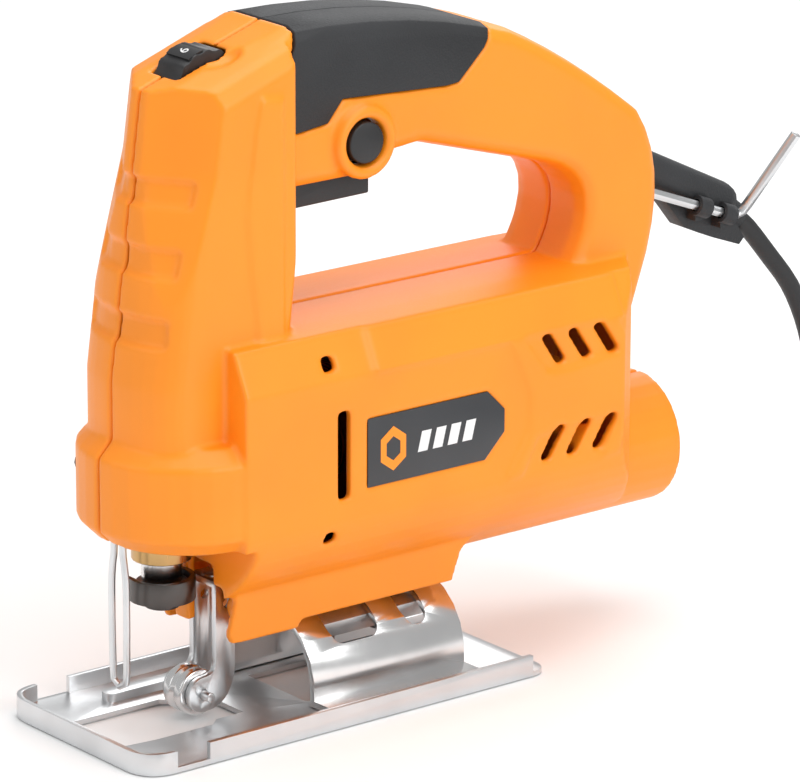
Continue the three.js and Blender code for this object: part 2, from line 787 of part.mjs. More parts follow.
// ---------------------------------------------------------------- motor
function makeMotor() {
  const coreRear = coreY + coreLength;
  const bore = coreRadius + airGap;
  const core = ringY(statorRadius, bore, coreY, coreRear, motorZ, 28);
  addPart("stator_core", core, LAMINATION);
  for (const [name, y] of [
    ["front_field_coil", coreY - GAP - 8],
    ["rear_field_coil", coreRear + GAP],
  ]) {
    addPart(name, ringY(statorRadius - 3, bore + 1.5, y, y + 8, motorZ), COPPER);
  }
  const teeth = gearOutline(pinionTeeth);
  const pinion = shifted(prismY(teeth, gearFrontY, gearFrontY + gearWidth + 1), 0, 0, motorZ);
  const shaft = cylinderY(shaftRadius, gearFrontY + 1, rearBearingY + bearingWidth + 1, 0, motorZ, 16);
  addPart("armature_shaft", shaft.add(pinion), BRIGHT_STEEL);
  const armature = (outer, y0, y1) => ringY(outer, shaftRadius + GAP, y0, y1, motorZ, 18);
  const windings = armature(coreRadius - 2, coreY - 7, coreRear + 7);
  addPart("armature_core", armature(coreRadius, coreY, coreRear).add(windings), COPPER);
  addPart("commutator", armature(commutatorRadius, commutatorY, commutatorY + commutatorLength), BRONZE);
  makeFan();
  for (const [name, y] of [
    ["front_bearing", gearPlateY + 1],
    ["rear_bearing", rearBearingY - 1],
  ]) {
    addPart(name, ringY(bearingRadius, shaftRadius + RUNNING, y, y + bearingWidth, motorZ), BRIGHT_STEEL);
  }
  for (const side of ["left", "right"]) {
    const place = side === "left" ? (body) => body : mirrored;
    const y = commutatorY + 2;
    const tube = box(14, brushHolderX, y - 1.5, y + 9.5, motorZ - 5, motorZ + 5);
    const way = box(10, brushHolderX - 1.5, y, y + 8, motorZ - 3.3, motorZ + 3.3);
    addPart(`${side}_brush_holder`, place(tube.subtract(way)), BRONZE);
    const brush = box(commutatorRadius + GAP, brushHolderX - 4, y + GAP, y + 8 - GAP, motorZ - 3, motorZ + 3);
    addPart(`${side}_brush`, place(brush), CARBON);
  }
}

// A spur gear's outline round the origin: straight flanks narrowing to the tip.
function gearOutline(teeth) {
  const pitch = (toothModule * teeth) / 2;
  const step = (2 * Math.PI) / teeth;
  const corners = [];
  for (let k = 0; k < teeth; k += 1) {
    for (const [share, radius] of [
      [-0.33, pitch - 1.2 * toothModule],
      [-0.1, pitch + 0.7 * toothModule],
      [0.1, pitch + 0.7 * toothModule],
      [0.33, pitch - 1.2 * toothModule],
    ]) {
      const angle = (k + share) * step + Math.PI / 2;
      corners.push([radius * Math.cos(angle), radius * Math.sin(angle)]);
    }
  }
  return outline(corners);
}

function shifted(body, x, y, z) {
  const geometry = geometryOf(body);
  geometry.translate(x, y, z);
  return solid(geometry);
}

function makeFan() {
  const hub = ringY(8, shaftRadius + GAP, fanY, fanY + fanWidth, motorZ);
  const disc = ringY(fanRadius, 6, fanY + fanWidth - 1.6, fanY + fanWidth, motorZ, 24);
  const blades = Array.from({ length: 9 }, (_, k) => {
    const geometry = new THREE.BoxGeometry(fanRadius - 8, fanWidth - 0.6, 1.2);
    geometry.translate(fanRadius / 2 + 3.4, fanY + fanWidth / 2 - 0.3, 0);
    geometry.applyMatrix4(new THREE.Matrix4().makeRotationY((2 * Math.PI * k) / 9));
    geometry.translate(0, 0, motorZ);
    return solid(geometry);
  });
  addPart("cooling_fan", joined([hub, disc, ...blades]), NYLON);
}

// ---------------------------------------------------------------- drive
const crankPinX = Math.sqrt(strokeHalf ** 2 - strokeRise ** 2);
const crankPinZ = gearZ + strokeRise;
const crankRollerRadius = 5;

function makeDrive() {
  const axleZ = gearZ;
  const plateRear = gearPlateY + gearPlateThick;
  const plate = new THREE.Shape();
  plate.moveTo(-18.6, 63);
  plate.lineTo(18.6, 63);
  plate.lineTo(18.6, 90);
  plate.lineTo(10, 112);
  plate.lineTo(-10, 112);
  plate.lineTo(-18.6, 90);
  const bearingWay = cylinderY(bearingRadius + GAP, gearPlateY - 1, plateRear + 1, 0, motorZ, 24);
  const axle = cylinderY(3.5, gearFrontY - 0.5, gearPlateY + 1, 0, axleZ, 24);
  addPart("gear_plate", prismY(plate, gearPlateY, plateRear).subtract(bearingWay).add(axle), ALUMINIUM);
  const halfTooth = Math.PI / gearTeeth;
  const rim = geometryOf(prismY(gearOutline(gearTeeth), gearFrontY, gearFrontY + gearWidth));
  rim.applyMatrix4(new THREE.Matrix4().makeRotationY(gearTeeth % 2 ? 0 : halfTooth));
  rim.translate(0, 0, axleZ);
  const bore = cylinderY(3.5 + RUNNING, -30, 10, 0, axleZ, 24);
  const crankPin = cylinderY(2.5, crankFrontY + 0.4, gearFrontY + 1, crankPinX, crankPinZ, 16);
  addPart("crank_gear", solid(rim).subtract(bore).add(crankPin), BRIGHT_STEEL);
  const sleeve = cylinderY(crankRollerRadius, crankFrontY, gearFrontY - 1.2, crankPinX, crankPinZ, 24);
  const sleeveBore = cylinderY(2.5 + RUNNING, -30, 0, crankPinX, crankPinZ, 16);
  addPart("crank_roller", sleeve.subtract(sleeveBore), BRIGHT_STEEL);
}

const yokeRearY = bladeY + plungerRadius + 3.6;
const crankFrontY = yokeRearY + 0.5; // the roller stops short of the yoke, so each can move alone

function makePlunger() {
  const rod = cylinderZ(plungerRadius, plungerBottomZ, plungerTopZ, 0, bladeY, 24);
  const slotHalf = strokeHalf + crankRollerRadius + 0.4;
  const yokeFrontY = bladeY + plungerRadius;
  const yoke = box(-slotHalf - 2.4, slotHalf + 2.4, yokeFrontY - 1.4, yokeRearY, crankPinZ - 8, crankPinZ + 8);
  const slot = box(-slotHalf, slotHalf, yokeFrontY, yokeRearY + 1, crankPinZ - 5.2, crankPinZ + 5.2);
  addPart("plunger", rod.add(yoke.subtract(slot)), BRIGHT_STEEL);
  for (const [name, [z0, z1]] of [
    ["lower_bush", lowBushZ],
    ["upper_bush", highBushZ],
  ]) {
    const sleeve = cylinderZ(bushRadius, z0, z1, 0, bladeY, 24);
    addPart(name, sleeve.subtract(cylinderZ(plungerRadius + RUNNING, z0 - 1, z1 + 1, 0, bladeY, 24)), BRONZE);
  }
  const holder = turnedZ(
    [
      [0, 36.6],
      [5.2, 36.6],
      [5.2, 38.8],
      [7.8, 39.3],
      [7.8, plungerBottomZ - GAP],
      [0, plungerBottomZ - GAP],
    ],
    0,
    bladeY,
    28
  );
  const bladeSlot = box(-0.9, 0.9, bladeY - 4.2, bladeY + 4.2, 30, plungerBottomZ - 1.2);
  addPart("blade_holder", holder.subtract(bladeSlot), DARK_STEEL);
  const ring = cylinderZ(ringRadius, ringBottomZ, ringTopZ, 0, bladeY, 40);
  const ringBore = cylinderZ(ringRadius - 1.7, 30, 50, 0, bladeY, 40);
  const ringGap = box(-20, 0, bladeY - 8, bladeY + 1.5, 30, 50);
  addPart("clamp_ring", ring.subtract(ringBore).subtract(ringGap), DARK_STEEL);
}

// ---------------------------------------------------------------- blade guide and guard
function makeGuide() {
  const side = new THREE.Shape();
  side.moveTo(forkFrontY, forkTopZ);
  side.lineTo(forkFrontY, rollerZ + 9);
  side.quadraticCurveTo(forkFrontY, rollerZ + 5.4, rollerY, rollerZ + 5.4);
  side.absarc(rollerY, rollerZ, 5.4, Math.PI / 2, 1.5 * Math.PI, false);
  side.quadraticCurveTo(forkRearY, rollerZ - 5.4, forkRearY, rollerZ + 9);
  side.lineTo(forkRearY, forkTopZ);
  const arms = bothSides(prismX(side, forkHalf - forkSheet, forkHalf));
  const web = box(-forkHalf, forkHalf, forkFrontY, forkRearY, forkTopZ - forkSheet, forkTopZ);
  const pinHole = cylinderX(rollerPinRadius + RUNNING, -20, 20, rollerY, rollerZ, 16);
  const lightHole = cylinderX(1.5, -20, 20, forkRearY - 2.8, 35, 12);
  const stem = cylinderZ(2.4, forkTopZ - 1, 42.8, 0, -13.5, 12);
  addPart("roller_fork", joined([arms, web, stem]).subtract(pinHole).subtract(lightHole), ZINC);
  const half = forkHalf - forkSheet - GAP;
  const bore = rollerPinRadius + RUNNING;
  const profile = [
    [bore, -half],
    [rollerRadius - 0.4, -half],
    [rollerRadius, -half + 0.4],
    [rollerRadius, -1.1],
    [rollerRadius - 1.5, 0],
    [rollerRadius, 1.1],
    [rollerRadius, half - 0.4],
    [rollerRadius - 0.4, half],
    [bore, half],
    [bore, -half],
  ];
  const wheel = new THREE.LatheGeometry(
    profile.map(([r, h]) => vec2(r, h)),
    32
  );
  wheel.rotateZ(-Math.PI / 2);
  wheel.translate(0, rollerY, rollerZ);
  addPart("guide_roller", solid(wheel), BRIGHT_STEEL);
  const pin = cylinderX(rollerPinRadius, -forkHalf - 1, forkHalf + 3.6, rollerY, rollerZ, 16);
  addPart("roller_pin", pin, ZINC);
}

const vec2 = (a, b) => new THREE.Vector2(a, b);

function makeGuard() {
  const leg = (sign) => [
    vec(sign * 2.2, guardY, 66),
    vec(sign * 2.2, guardY, 56),
    vec(sign * guardHalf, guardY, 49),
    vec(sign * guardHalf, guardY, 20),
    vec(sign * guardHalf * 0.96, guardY, 17),
    vec(sign * guardHalf * 0.6, guardY, 15.4),
  ];
  const points = [...leg(-1), vec(0, guardY, 14.8), ...leg(1).reverse()];
  addPart("wire_guard", bare(swept(guardWire, points, 30, 8)), ZINC);
}

// ---------------------------------------------------------------- sole
function rounded(x0, x1, y0, y1, frontRadius, rearRadius) {
  const shape = new THREE.Shape();
  shape.moveTo(x0 + frontRadius, y0);
  shape.lineTo(x1 - frontRadius, y0);
  shape.quadraticCurveTo(x1, y0, x1, y0 + frontRadius);
  shape.lineTo(x1, y1 - rearRadius);
  shape.quadraticCurveTo(x1, y1, x1 - rearRadius, y1);
  shape.lineTo(x0 + rearRadius, y1);
  shape.quadraticCurveTo(x0, y1, x0, y1 - rearRadius);
  shape.lineTo(x0, y0 + frontRadius);
  shape.quadraticCurveTo(x0, y0, x0 + frontRadius, y0);
  return shape;
}

const fenceNotch = [-52.6, -41];
const rearHole = [10, 32];

function makeSole() {
  const half = soleWidth / 2;
  const tray = prismZ(rounded(-half, half, soleFrontY, soleRearY, 11, 6), 0, soleFlange);
  const inside = rounded(-half + soleSheet, half - soleSheet, soleFrontY + soleSheet, soleRearY + 20, 9.4, 0.1);
  const hollow = prismZ(inside, soleSheet, soleFlange + 1);
  const flangeEnd = box(-half - 1, half + 1, soleRearY - 6, soleRearY + 1, soleSheet, soleFlange + 1);
  const notch = box(-half - 1, half + 1, fenceNotch[0], fenceNotch[1], soleSheet, soleFlange + 1);
  const bladeWay = outline([
    [-bladeSlotHalf, bladeSlotFrontY],
    [bladeSlotHalf - 1.5, bladeSlotFrontY],
    [bladeSlotHalf, bladeSlotFrontY + 12],
    [bladeSlotHalf, -23.4],
    [bladeSlotNarrowHalf, -20],
    [bladeSlotNarrowHalf, bladeSlotRearY],
    [-bladeSlotNarrowHalf, bladeSlotRearY],
    [-bladeSlotNarrowHalf, -20],
    [-bladeSlotHalf, -23.4],
  ]);
  const rearWay = outline([
    [-14, rearHole[0]],
    [14, rearHole[0]],
    [16, rearHole[0] + 1.5],
    [16, rearHole[1]],
    [-14, rearHole[1]],
  ]);
  const screwAccess = cylinderZ(4.5, -1, 5, 0, rearScrewY, 24);
  const rib = prismZ(rounded(-25, -19.6, -37, 84, 2.6, 2.6), soleSheet - 0.4, soleSheet + 2.6);
  const ribClear = box(-archFootHalf - 1, -16, archFrontY - 1, archRearY + 1, soleSheet, 8);
  const plate = cut(tray, [hollow, flangeEnd, notch, prismZ(bladeWay, -1, 5), prismZ(rearWay, -1, 5), screwAccess]);
  addPart("sole_plate", plate.add(rib.subtract(ribClear)), ZINC);
}

// The bevel saddle: a half-round arch on two feet, slotted across for the two bevel screws.
function makeArch() {
  const outer = archRadius;
  const inner = archRadius - archSheet;
  const footZ = soleSheet + GAP;
  const side = new THREE.Shape();
  const low = -0.24;
  side.moveTo(archFootHalf, footZ);
  side.lineTo(archFootHalf, footZ + archSheet);
  side.lineTo(outer * Math.cos(low) + 0.4, footZ + archSheet);
  side.absarc(0, archAxisZ, outer, low + 0.12, Math.PI - low - 0.12, false);
  side.lineTo(-outer * Math.cos(low) - 0.4, footZ + archSheet);
  side.lineTo(-archFootHalf, footZ + archSheet);
  side.lineTo(-archFootHalf, footZ);
  side.lineTo(-inner * Math.cos(low), footZ);
  side.absarc(0, archAxisZ, inner, Math.PI - low - 0.12, low + 0.12, true);
  side.lineTo(inner * Math.cos(low), footZ);
  const reach = 18;
  const frontSlot = prismZ(rounded(-reach, reach, 18, 36, 4, 4), 12, 40);
  const rearSlot = prismZ(rounded(-reach, reach, 45.5, 54.5, 4.4, 4.4), 12, 40);
  addPart("bevel_arch", cut(prismY(side, archFrontY, archRearY), [frontSlot, rearSlot]), BRIGHT_STEEL);
}

// The screws pull a curved block up under the arch, against the keel.
function makeBevelClamp() {
  const under = archRadius - archSheet - GAP;
  const round = cylinderY(under, 16, 57, 0, archAxisZ, 48);
  const block = round.intersect(box(-11, 11, 16, 57, archAxisZ + 11.5, 40));
  const ways = [frontScrewY, rearScrewY].map((y) => cylinderZ(bevelScrewRadius + GAP, 0, 40, 0, y, 16));
  addPart("bevel_clamp_block", cut(block, ways), ALUMINIUM);
  for (const [name, y] of [
    ["front_bevel_screw", frontScrewY],
    ["rear_bevel_screw", rearScrewY],
  ]) {
    const head = cylinderZ(bevelHeadRadius, 13, archAxisZ + 11.5 - GAP, 0, y, 24);
    const shank = cylinderZ(bevelScrewRadius, 14, keelBottomZ + bevelScrewDepth, 0, y, 16);
    const socket = sectionPrism(keyCorners + RUNNING, 6, 10, 15);
    socket.translate(0, y, 0);
    addPart(name, head.add(shank).subtract(solid(socket)), DARK_STEEL);
  }
}

// ---------------------------------------------------------------- dust duct
function makeDuct() {
  const tube = box(-ductHalf, ductHalf, -2.5, portBackY + 2.4, ductBottomZ, ductTopZ);
  const bore = box(-ductHalf + 1.4, ductHalf - 1.4, -30, 140, ductBottomZ + 1.4, ductTopZ - 1.4);
  addPart("dust_duct", tube.subtract(bore), BLACK_HARD);
}

// ---------------------------------------------------------------- cord and its fittings
function turnedBlank(profile, sides = 16) {
  const geometry = new THREE.LatheGeometry(
    profile.map(([r, h]) => vec2(r, h)),
    sides
  );
  geometry.rotateX(Math.PI / 2);
  return geometry;
}

// The rubber sleeve with a round end, a nose for the cord, and a tongue whose two loops hold the key.
function makeSleeve() {
  const length = sleeveStart.distanceTo(sleeveEnd);
  const body = turnedBlank([
    [0, -8],
    [sleeveRadius, -8],
    [sleeveRadius, length - 6],
    [sleeveRadius * 0.87, length - 3],
    [sleeveRadius * 0.5, length - 0.8],
    [0, length],
  ]);
  const noseRoot = cordExit.clone().addScaledVector(cordExitDirection, -9);
  const nose = laidAlong(sectionPrism(cordRadius + 1.3, 20, 0, 9), noseRoot, cordExit);
  const noseWay = laidAlong(sectionPrism(cordRadius + GAP, 16, 0, 12), noseRoot, cordExit);
  const cordWay = alongSleeve(sectionPrism(cordRadius + GAP, 16, -20, length - 4));
  const loops = [27, 38].map((along) => alongKey(sectionPrism(keyLoopRadius, 16, along, along + 5)));
  const bridges = [27, 38].map((along) => loopBridge(along));
  const keyWay = alongKey(sectionPrism(keyCorners + GAP, 12, -20, 60));
  const whole = joined([alongSleeve(body), nose, finBlock(), ...loops, ...bridges]);
  addPart("cord_sleeve", cut(whole, [cordWay, noseWay, keyWay]), BLACK_SOFT);
}

const keyLoopRadius = keyFlats / Math.sqrt(3) + GAP + 1.2;

// Ties one key loop back to the tongue.
function loopBridge(along) {
  const spot = keyStart.clone().lerp(keyCorner, (along + 2.5) / keyStart.distanceTo(keyCorner));
  return box(1, keyStart.x, spot.y - 2.3, spot.y + 2.3, spot.z - keyLoopRadius - 1, spot.z - 0.5);
}

function finBlock() {
  const side = outline([
    [156, 131],
    [159.4, 127],
    [166.1, 118.8],
    [178, 113.5],
    [189, 109.4],
    [191, 111.4],
    [186, 119],
    [170, 129],
  ]);
  return prismX(side, -3.4, 3.4);
}

function makeKey() {
  const inside = keyStart.clone().lerp(keyCorner, -keyGripLength / keyStart.distanceTo(keyCorner));
  const bendStart = keyCorner.clone().lerp(keyStart, 0.08);
  const bendEnd = keyCorner.clone().lerp(keyTip, 0.12);
  const middle = bendStart.clone().lerp(bendEnd, 0.5).lerp(keyCorner, 0.5);
  const path = [
    inside,
    inside.clone().lerp(bendStart, 0.95),
    bendStart,
    middle,
    bendEnd,
    bendEnd.clone().lerp(keyTip, 0.08),
    keyTip,
  ];
  addPart("hex_key", bare(swept(keyCorners, path, 28, 6)), ZINC);
}

function makeClamp() {
  const bar = box(-11, 11, 121, 126, 141.5, 152.5);
  const way = alongSleeve(sectionPrism(cordRadius + GAP, 16, -40, 0));
  addPart("cord_clamp", bar.subtract(way), BLACK_HARD);
}

// The hanging stretch, from the sleeve's nose down to where it meets the coil.
const route = [
  cordExit.clone().addScaledVector(cordExitDirection, GAP),
  vec(0, 195.5, 113),
  vec(0, 204.4, 102.8),
  vec(0, 213.6, 91.6),
  vec(0.2, 219.8, 79.6),
  vec(0.8, 223.6, 66.6),
  vec(1.6, 226, 53.4),
  vec(3, 228, 40.4),
  vec(5.6, 230.6, 27.8),
  vec(10, 234, 16.6),
  vec(16, 238, 8.2),
  vec(22.5, 242.2, 4),
  vec(28.5, 246.2, 3.15),
];

// The far end climbs off the outermost turn, bends in over the coil, and its plug lies across it.
const tailLeave = THREE.MathUtils.degToRad(159.2);
const tailSweep = THREE.MathUtils.degToRad(80);
const tailBend = 27;
const tailBendCentre = coilMeanRadius + coilHalfWidth - cordRadius + 2.3 - tailBend;
const tailClimb = { startZ: 9.25, before: 25 };
const tailHeading = tailLeave + tailSweep;
const tailLength = 14;
const plugZ = 21;

function tailPoint(sweep, along) {
  const [x, y] = coilCentre;
  const angle = tailLeave + sweep;
  const bendLength = tailBend * tailSweep;
  const share = (tailClimb.before + tailBend * sweep) / (tailClimb.before + bendLength);
  return vec(
    x + tailBendCentre * Math.cos(tailLeave) + tailBend * Math.cos(angle) - along * Math.sin(angle),
    y + tailBendCentre * Math.sin(tailLeave) + tailBend * Math.sin(angle) + along * Math.cos(angle),
    tailClimb.startZ + (plugZ - tailClimb.startZ) * THREE.MathUtils.smoothstep(share, 0, 1)
  );
}

function makeCord() {
  addPart("cord", bare(swept(cordRadius, route, 22, 10)), CORD_BLACK);
  const inner = coilMeanRadius - coilHalfWidth;
  const outer = coilMeanRadius + coilHalfWidth;
  const ring = turnedZ(
    [
      [inner, 0.1],
      [outer, 0.1],
      [outer, coilHeight],
      [inner, coilHeight],
      [inner, 0.1],
    ],
    ...coilCentre,
    40
  );
  const tieWay = box(-tieHalf - GAP, tieHalf + GAP, -2 * outer, 2 * outer, -1, coilHeight + 3);
  const tieRoom = shifted(tieWay, ...coilCentre, 0).intersect(box(-90, 120, 200, coilCentre[1], -1, 30));
  const waisted = ring.subtract(tieRoom.subtract(shrunkRing(1.6)));
  addPart("cord_coil", waisted, CORD_BLACK);
  const band = shrunkRing(0.1).subtract(shrunkRing(1.6 - GAP));
  const bandRoom = shifted(box(-tieHalf, tieHalf, -2 * outer, -5, -1, 30), ...coilCentre, 0);
  addPart("coil_tie", band.intersect(bandRoom), BLACK_HARD);
  const tail = [
    ...[0.25, 0.5, 0.75, 1].map((share) => tailPoint(share * tailSweep, 0)),
    tailPoint(tailSweep, tailLength / 2),
    tailPoint(tailSweep, tailLength),
  ];
  addPart("cord_tail", bare(swept(cordRadius, tail, 16, 10)), CORD_BLACK);
}

const tieHalf = 4;

// The coil's ring drawn in on every side, for the tie that goes round it.
function shrunkRing(inset) {
  const inner = coilMeanRadius - coilHalfWidth + inset;
  const outer = coilMeanRadius + coilHalfWidth - inset;
  return turnedZ(
    [
      [inner, 0.1 + inset],
      [outer, 0.1 + inset],
      [outer, coilHeight - inset],
      [inner, coilHeight - inset],
      [inner, 0.1 + inset],
    ],
    ...coilCentre,
    40
  );
}

// A flat two-pin plug, in line with the tail.
function makePlug() {
  const sweep = new THREE.Shape();
  sweep.moveTo(-3.6, 0);
  sweep.lineTo(3.6, 0);
  sweep.lineTo(5, 15);
  sweep.quadraticCurveTo(7, 18, 12.5, 22);
  sweep.lineTo(17, 36);
  sweep.lineTo(17, 40);
  sweep.lineTo(-17, 40);
  sweep.lineTo(-17, 36);
  sweep.lineTo(-12.5, 22);
  sweep.quadraticCurveTo(-7, 18, -5, 15);
  sweep.lineTo(-3.6, 0);
  const body = prismZ(sweep, -6.8, 6.8);
  const neck = cylinderY(3.9, -1, 16, 0, 0, 20).add(box(-20, 20, 14, 41, -7, 7));
  const pins = [-9.5, 9.5].map((x) => cylinderY(2, 38, 59, x, 0, 16));
  const plug = geometryOf(joined([body.intersect(neck), ...pins]));
  plug.rotateZ(tailHeading);
  const spot = tailPoint(tailSweep, tailLength + GAP);
  plug.translate(spot.x, spot.y, spot.z);
  addPart("plug", plug, BLACK_HARD);
}

for (const make of [
  makeHousing,
  makeGrips,
  makeScrews,
  makeLabels,
  makeTrigger,
  makeLockButton,
  makeDial,
  makeMotor,
  makeDrive,
  makePlunger,
  makeGuide,
  makeGuard,
  makeSole,
  makeArch,
  makeBevelClamp,
  makeDuct,
  makeSleeve,
  makeKey,
  makeClamp,
  makeCord,
  makePlug,
]) {
  make();
}

export default jigsaw;
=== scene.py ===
import json
import math

import bmesh
import bpy
from mathutils import Matrix, Quaternion, Vector

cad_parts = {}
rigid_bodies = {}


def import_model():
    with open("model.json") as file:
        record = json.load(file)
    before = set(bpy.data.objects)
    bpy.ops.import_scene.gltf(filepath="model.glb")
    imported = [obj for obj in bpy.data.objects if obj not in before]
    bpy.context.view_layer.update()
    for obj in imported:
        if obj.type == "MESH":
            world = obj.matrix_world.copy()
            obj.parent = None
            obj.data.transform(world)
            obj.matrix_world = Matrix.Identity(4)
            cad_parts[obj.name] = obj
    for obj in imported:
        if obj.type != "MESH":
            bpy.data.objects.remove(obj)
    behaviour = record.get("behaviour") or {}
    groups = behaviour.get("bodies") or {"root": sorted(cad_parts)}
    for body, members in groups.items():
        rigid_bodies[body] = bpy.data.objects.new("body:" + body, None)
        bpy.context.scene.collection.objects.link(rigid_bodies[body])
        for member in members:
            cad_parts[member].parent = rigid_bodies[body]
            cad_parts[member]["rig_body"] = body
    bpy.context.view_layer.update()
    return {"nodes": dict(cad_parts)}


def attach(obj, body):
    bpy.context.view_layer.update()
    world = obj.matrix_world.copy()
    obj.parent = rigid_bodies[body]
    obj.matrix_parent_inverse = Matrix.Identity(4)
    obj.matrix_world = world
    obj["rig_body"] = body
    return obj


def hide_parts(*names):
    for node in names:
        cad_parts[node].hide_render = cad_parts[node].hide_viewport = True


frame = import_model()
nodes = frame["nodes"]
scene = bpy.context.scene
MM = 0.001
MERGE_DISTANCE = 1e-6


def mm(*values):
    """A point given in millimetres, in the frame's metres."""
    return Vector(values) * MM


# ---------------------------------------------------------------- camera

CAMERA_AZIMUTH = math.radians(51.55)
CAMERA_ELEVATION = math.radians(17.0)
CAMERA_ROLL = math.radians(0.175)
CAMERA_TARGET = mm(0, 57, 85.54)
CAMERA_DISTANCE = 1.6883
SENSOR_WIDTH = 36
LENS = 253.8
CLIP_NEAR, CLIP_FAR = 0.05, 40


def add_camera():
    """The three-quarter front view from the left side."""
    level = math.cos(CAMERA_ELEVATION)
    back = Vector((
        math.sin(CAMERA_AZIMUTH) * level,
        -math.cos(CAMERA_AZIMUTH) * level,
        math.sin(CAMERA_ELEVATION),
    ))
    data = bpy.data.cameras.new("view_camera")
    data.sensor_width = SENSOR_WIDTH
    data.lens = LENS
    data.clip_start = CLIP_NEAR
    data.clip_end = CLIP_FAR
    camera = bpy.data.objects.new("view_camera", data)
    camera.rotation_mode = "QUATERNION"
    camera.location = CAMERA_TARGET + back * CAMERA_DISTANCE
    camera.rotation_quaternion = back.to_track_quat("Z", "Y") @ Quaternion((0, 0, 1), CAMERA_ROLL)
    scene.collection.objects.link(camera)
    scene.camera = camera


add_camera()


# ---------------------------------------------------------------- materials

OBJECT_COORDINATES = 3
MIX_FACTOR, MIX_COLOUR_A, MIX_COLOUR_B, MIXED_COLOUR = 0, 6, 7, 2
WAVE_VALUE = 1


class Field:
    """A value that varies over a surface: one output socket, with arithmetic."""

    def __init__(self, finish, socket):
        self.finish = finish
        self.socket = socket

    def math(self, operation, *inputs):
        return self.finish.node("ShaderNodeMath", {"operation": operation}, dict(enumerate(inputs)))

    def __add__(self, other):
        return self.math("ADD", self, other)

    def __sub__(self, other):
        return self.math("SUBTRACT", self, other)

    def __rsub__(self, other):
        return self.math("SUBTRACT", other, self)

    def __mul__(self, other):
        return self.math("MULTIPLY", self, other)

    __radd__ = __add__
    __rmul__ = __mul__

    def step(self, low, high):
        """0 below low and 1 above high, with a smooth ramp between."""
        return self.finish.node(
            "ShaderNodeMapRange",
            {"interpolation_type": "SMOOTHSTEP"},
            {"Value": self, "From Min": low, "From Max": high},
        )


class Finish:
    """A material being built round one Principled shader."""

    def __init__(self, name, colour, roughness, metallic=0.0):
        self.material = bpy.data.materials.new(name)
        self.material.use_nodes = True
        self.tree = self.material.node_tree
        self.shader = next(n for n in self.tree.nodes if n.type == "BSDF_PRINCIPLED")
        self.shader.inputs["Base Color"].default_value = (*colour, 1)
        self.shader.inputs["Roughness"].default_value = roughness
        self.shader.inputs["Metallic"].default_value = metallic
        self.colour = colour
        self.material.diffuse_color = (*colour, 1)

    def node(self, kind, settings=None, inputs=None, output=0):
        """Adds one node: its settings first, then the values or links of its sockets."""
        made = self.tree.nodes.new(kind)
        for key, value in (settings or {}).items():
            setattr(made, key, value)
        for key, value in (inputs or {}).items():
            if isinstance(value, Field):
                self.tree.links.new(value.socket, made.inputs[key])
            else:
                made.inputs[key].default_value = value
        return Field(self, made.outputs[output])

    def place(self, scale=(1, 1, 1)):
        """Object coordinates, scaled along each axis for a pattern."""
        here = self.node("ShaderNodeTexCoord", output=OBJECT_COORDINATES)
        return self.node("ShaderNodeMapping", {}, {"Vector": here, "Scale": scale})

    def noise(self, fineness, detail, stretch=(1, 1, 1)):
        """Soft random spots, between 0 and 1."""
        return self.node(
            "ShaderNodeTexNoise", {}, {"Vector": self.place(stretch), "Scale": fineness, "Detail": detail}
        )

    def feed(self, socket, field):
        """Links a field to one of the shader's own sockets."""
        self.tree.links.new(field.socket, self.shader.inputs[socket])

    def tint(self, field, other):
        """Base colour that goes over to the other colour where the field is 1."""
        mixed = self.node(
            "ShaderNodeMix",
            {"data_type": "RGBA"},
            {MIX_FACTOR: field, MIX_COLOUR_A: (*self.colour, 1), MIX_COLOUR_B: (*other, 1)},
            output=MIXED_COLOUR,
        )
        self.feed("Base Color", mixed)

    def bump(self, height, distance):
        """A fine relief of the given depth in metres."""
        relief = self.node("ShaderNodeBump", {}, {"Height": height, "Distance": distance, "Strength": 1.0})
        self.feed("Normal", relief)


GRAIN_DETAIL = 4.0
GRAIN_GLOSS = 0.16
MOTTLE_FINENESS, MOTTLE_DETAIL, MOTTLE_EDGES = 28.0, 2.0, (0.35, 0.8)


def moulded(name, colour, roughness, grain, depth, shade=0.9):
    """Injection-moulded plastic with a fine spark-eroded grain."""
    finish = Finish(name, colour, roughness)
    texture = finish.noise(grain, GRAIN_DETAIL)
    mottle = finish.noise(MOTTLE_FINENESS, MOTTLE_DETAIL).step(*MOTTLE_EDGES)
    finish.tint(mottle, tuple(c * shade for c in colour))
    finish.feed("Roughness", texture * GRAIN_GLOSS + (roughness - GRAIN_GLOSS / 2))
    finish.bump(texture, depth)
    return finish.material


MARK_DETAIL, MARK_GLOSS = 3.0, 0.08
PATCH_FINENESS, PATCH_DETAIL, PATCH_EDGES = 60.0, 2.0, (0.3, 0.8)
PATCH_GLOSS, PATCH_SHADE = 0.08, 0.9
WORN_SMOOTH = 0.15


def worked_metal(name, colour, roughness, stretch, grain=900.0, depth=2e-6):
    """Metal with faint tool marks drawn out along one axis."""
    finish = Finish(name, colour, roughness, metallic=1.0)
    marks = finish.noise(grain, MARK_DETAIL, stretch)
    patches = finish.noise(PATCH_FINENESS, PATCH_DETAIL)
    finish.tint(patches.step(*PATCH_EDGES), tuple(c * PATCH_SHADE for c in colour))
    finish.feed("Roughness", marks * MARK_GLOSS + patches * PATCH_GLOSS + (roughness - WORN_SMOOTH))
    finish.bump(marks, depth)
    return finish.material


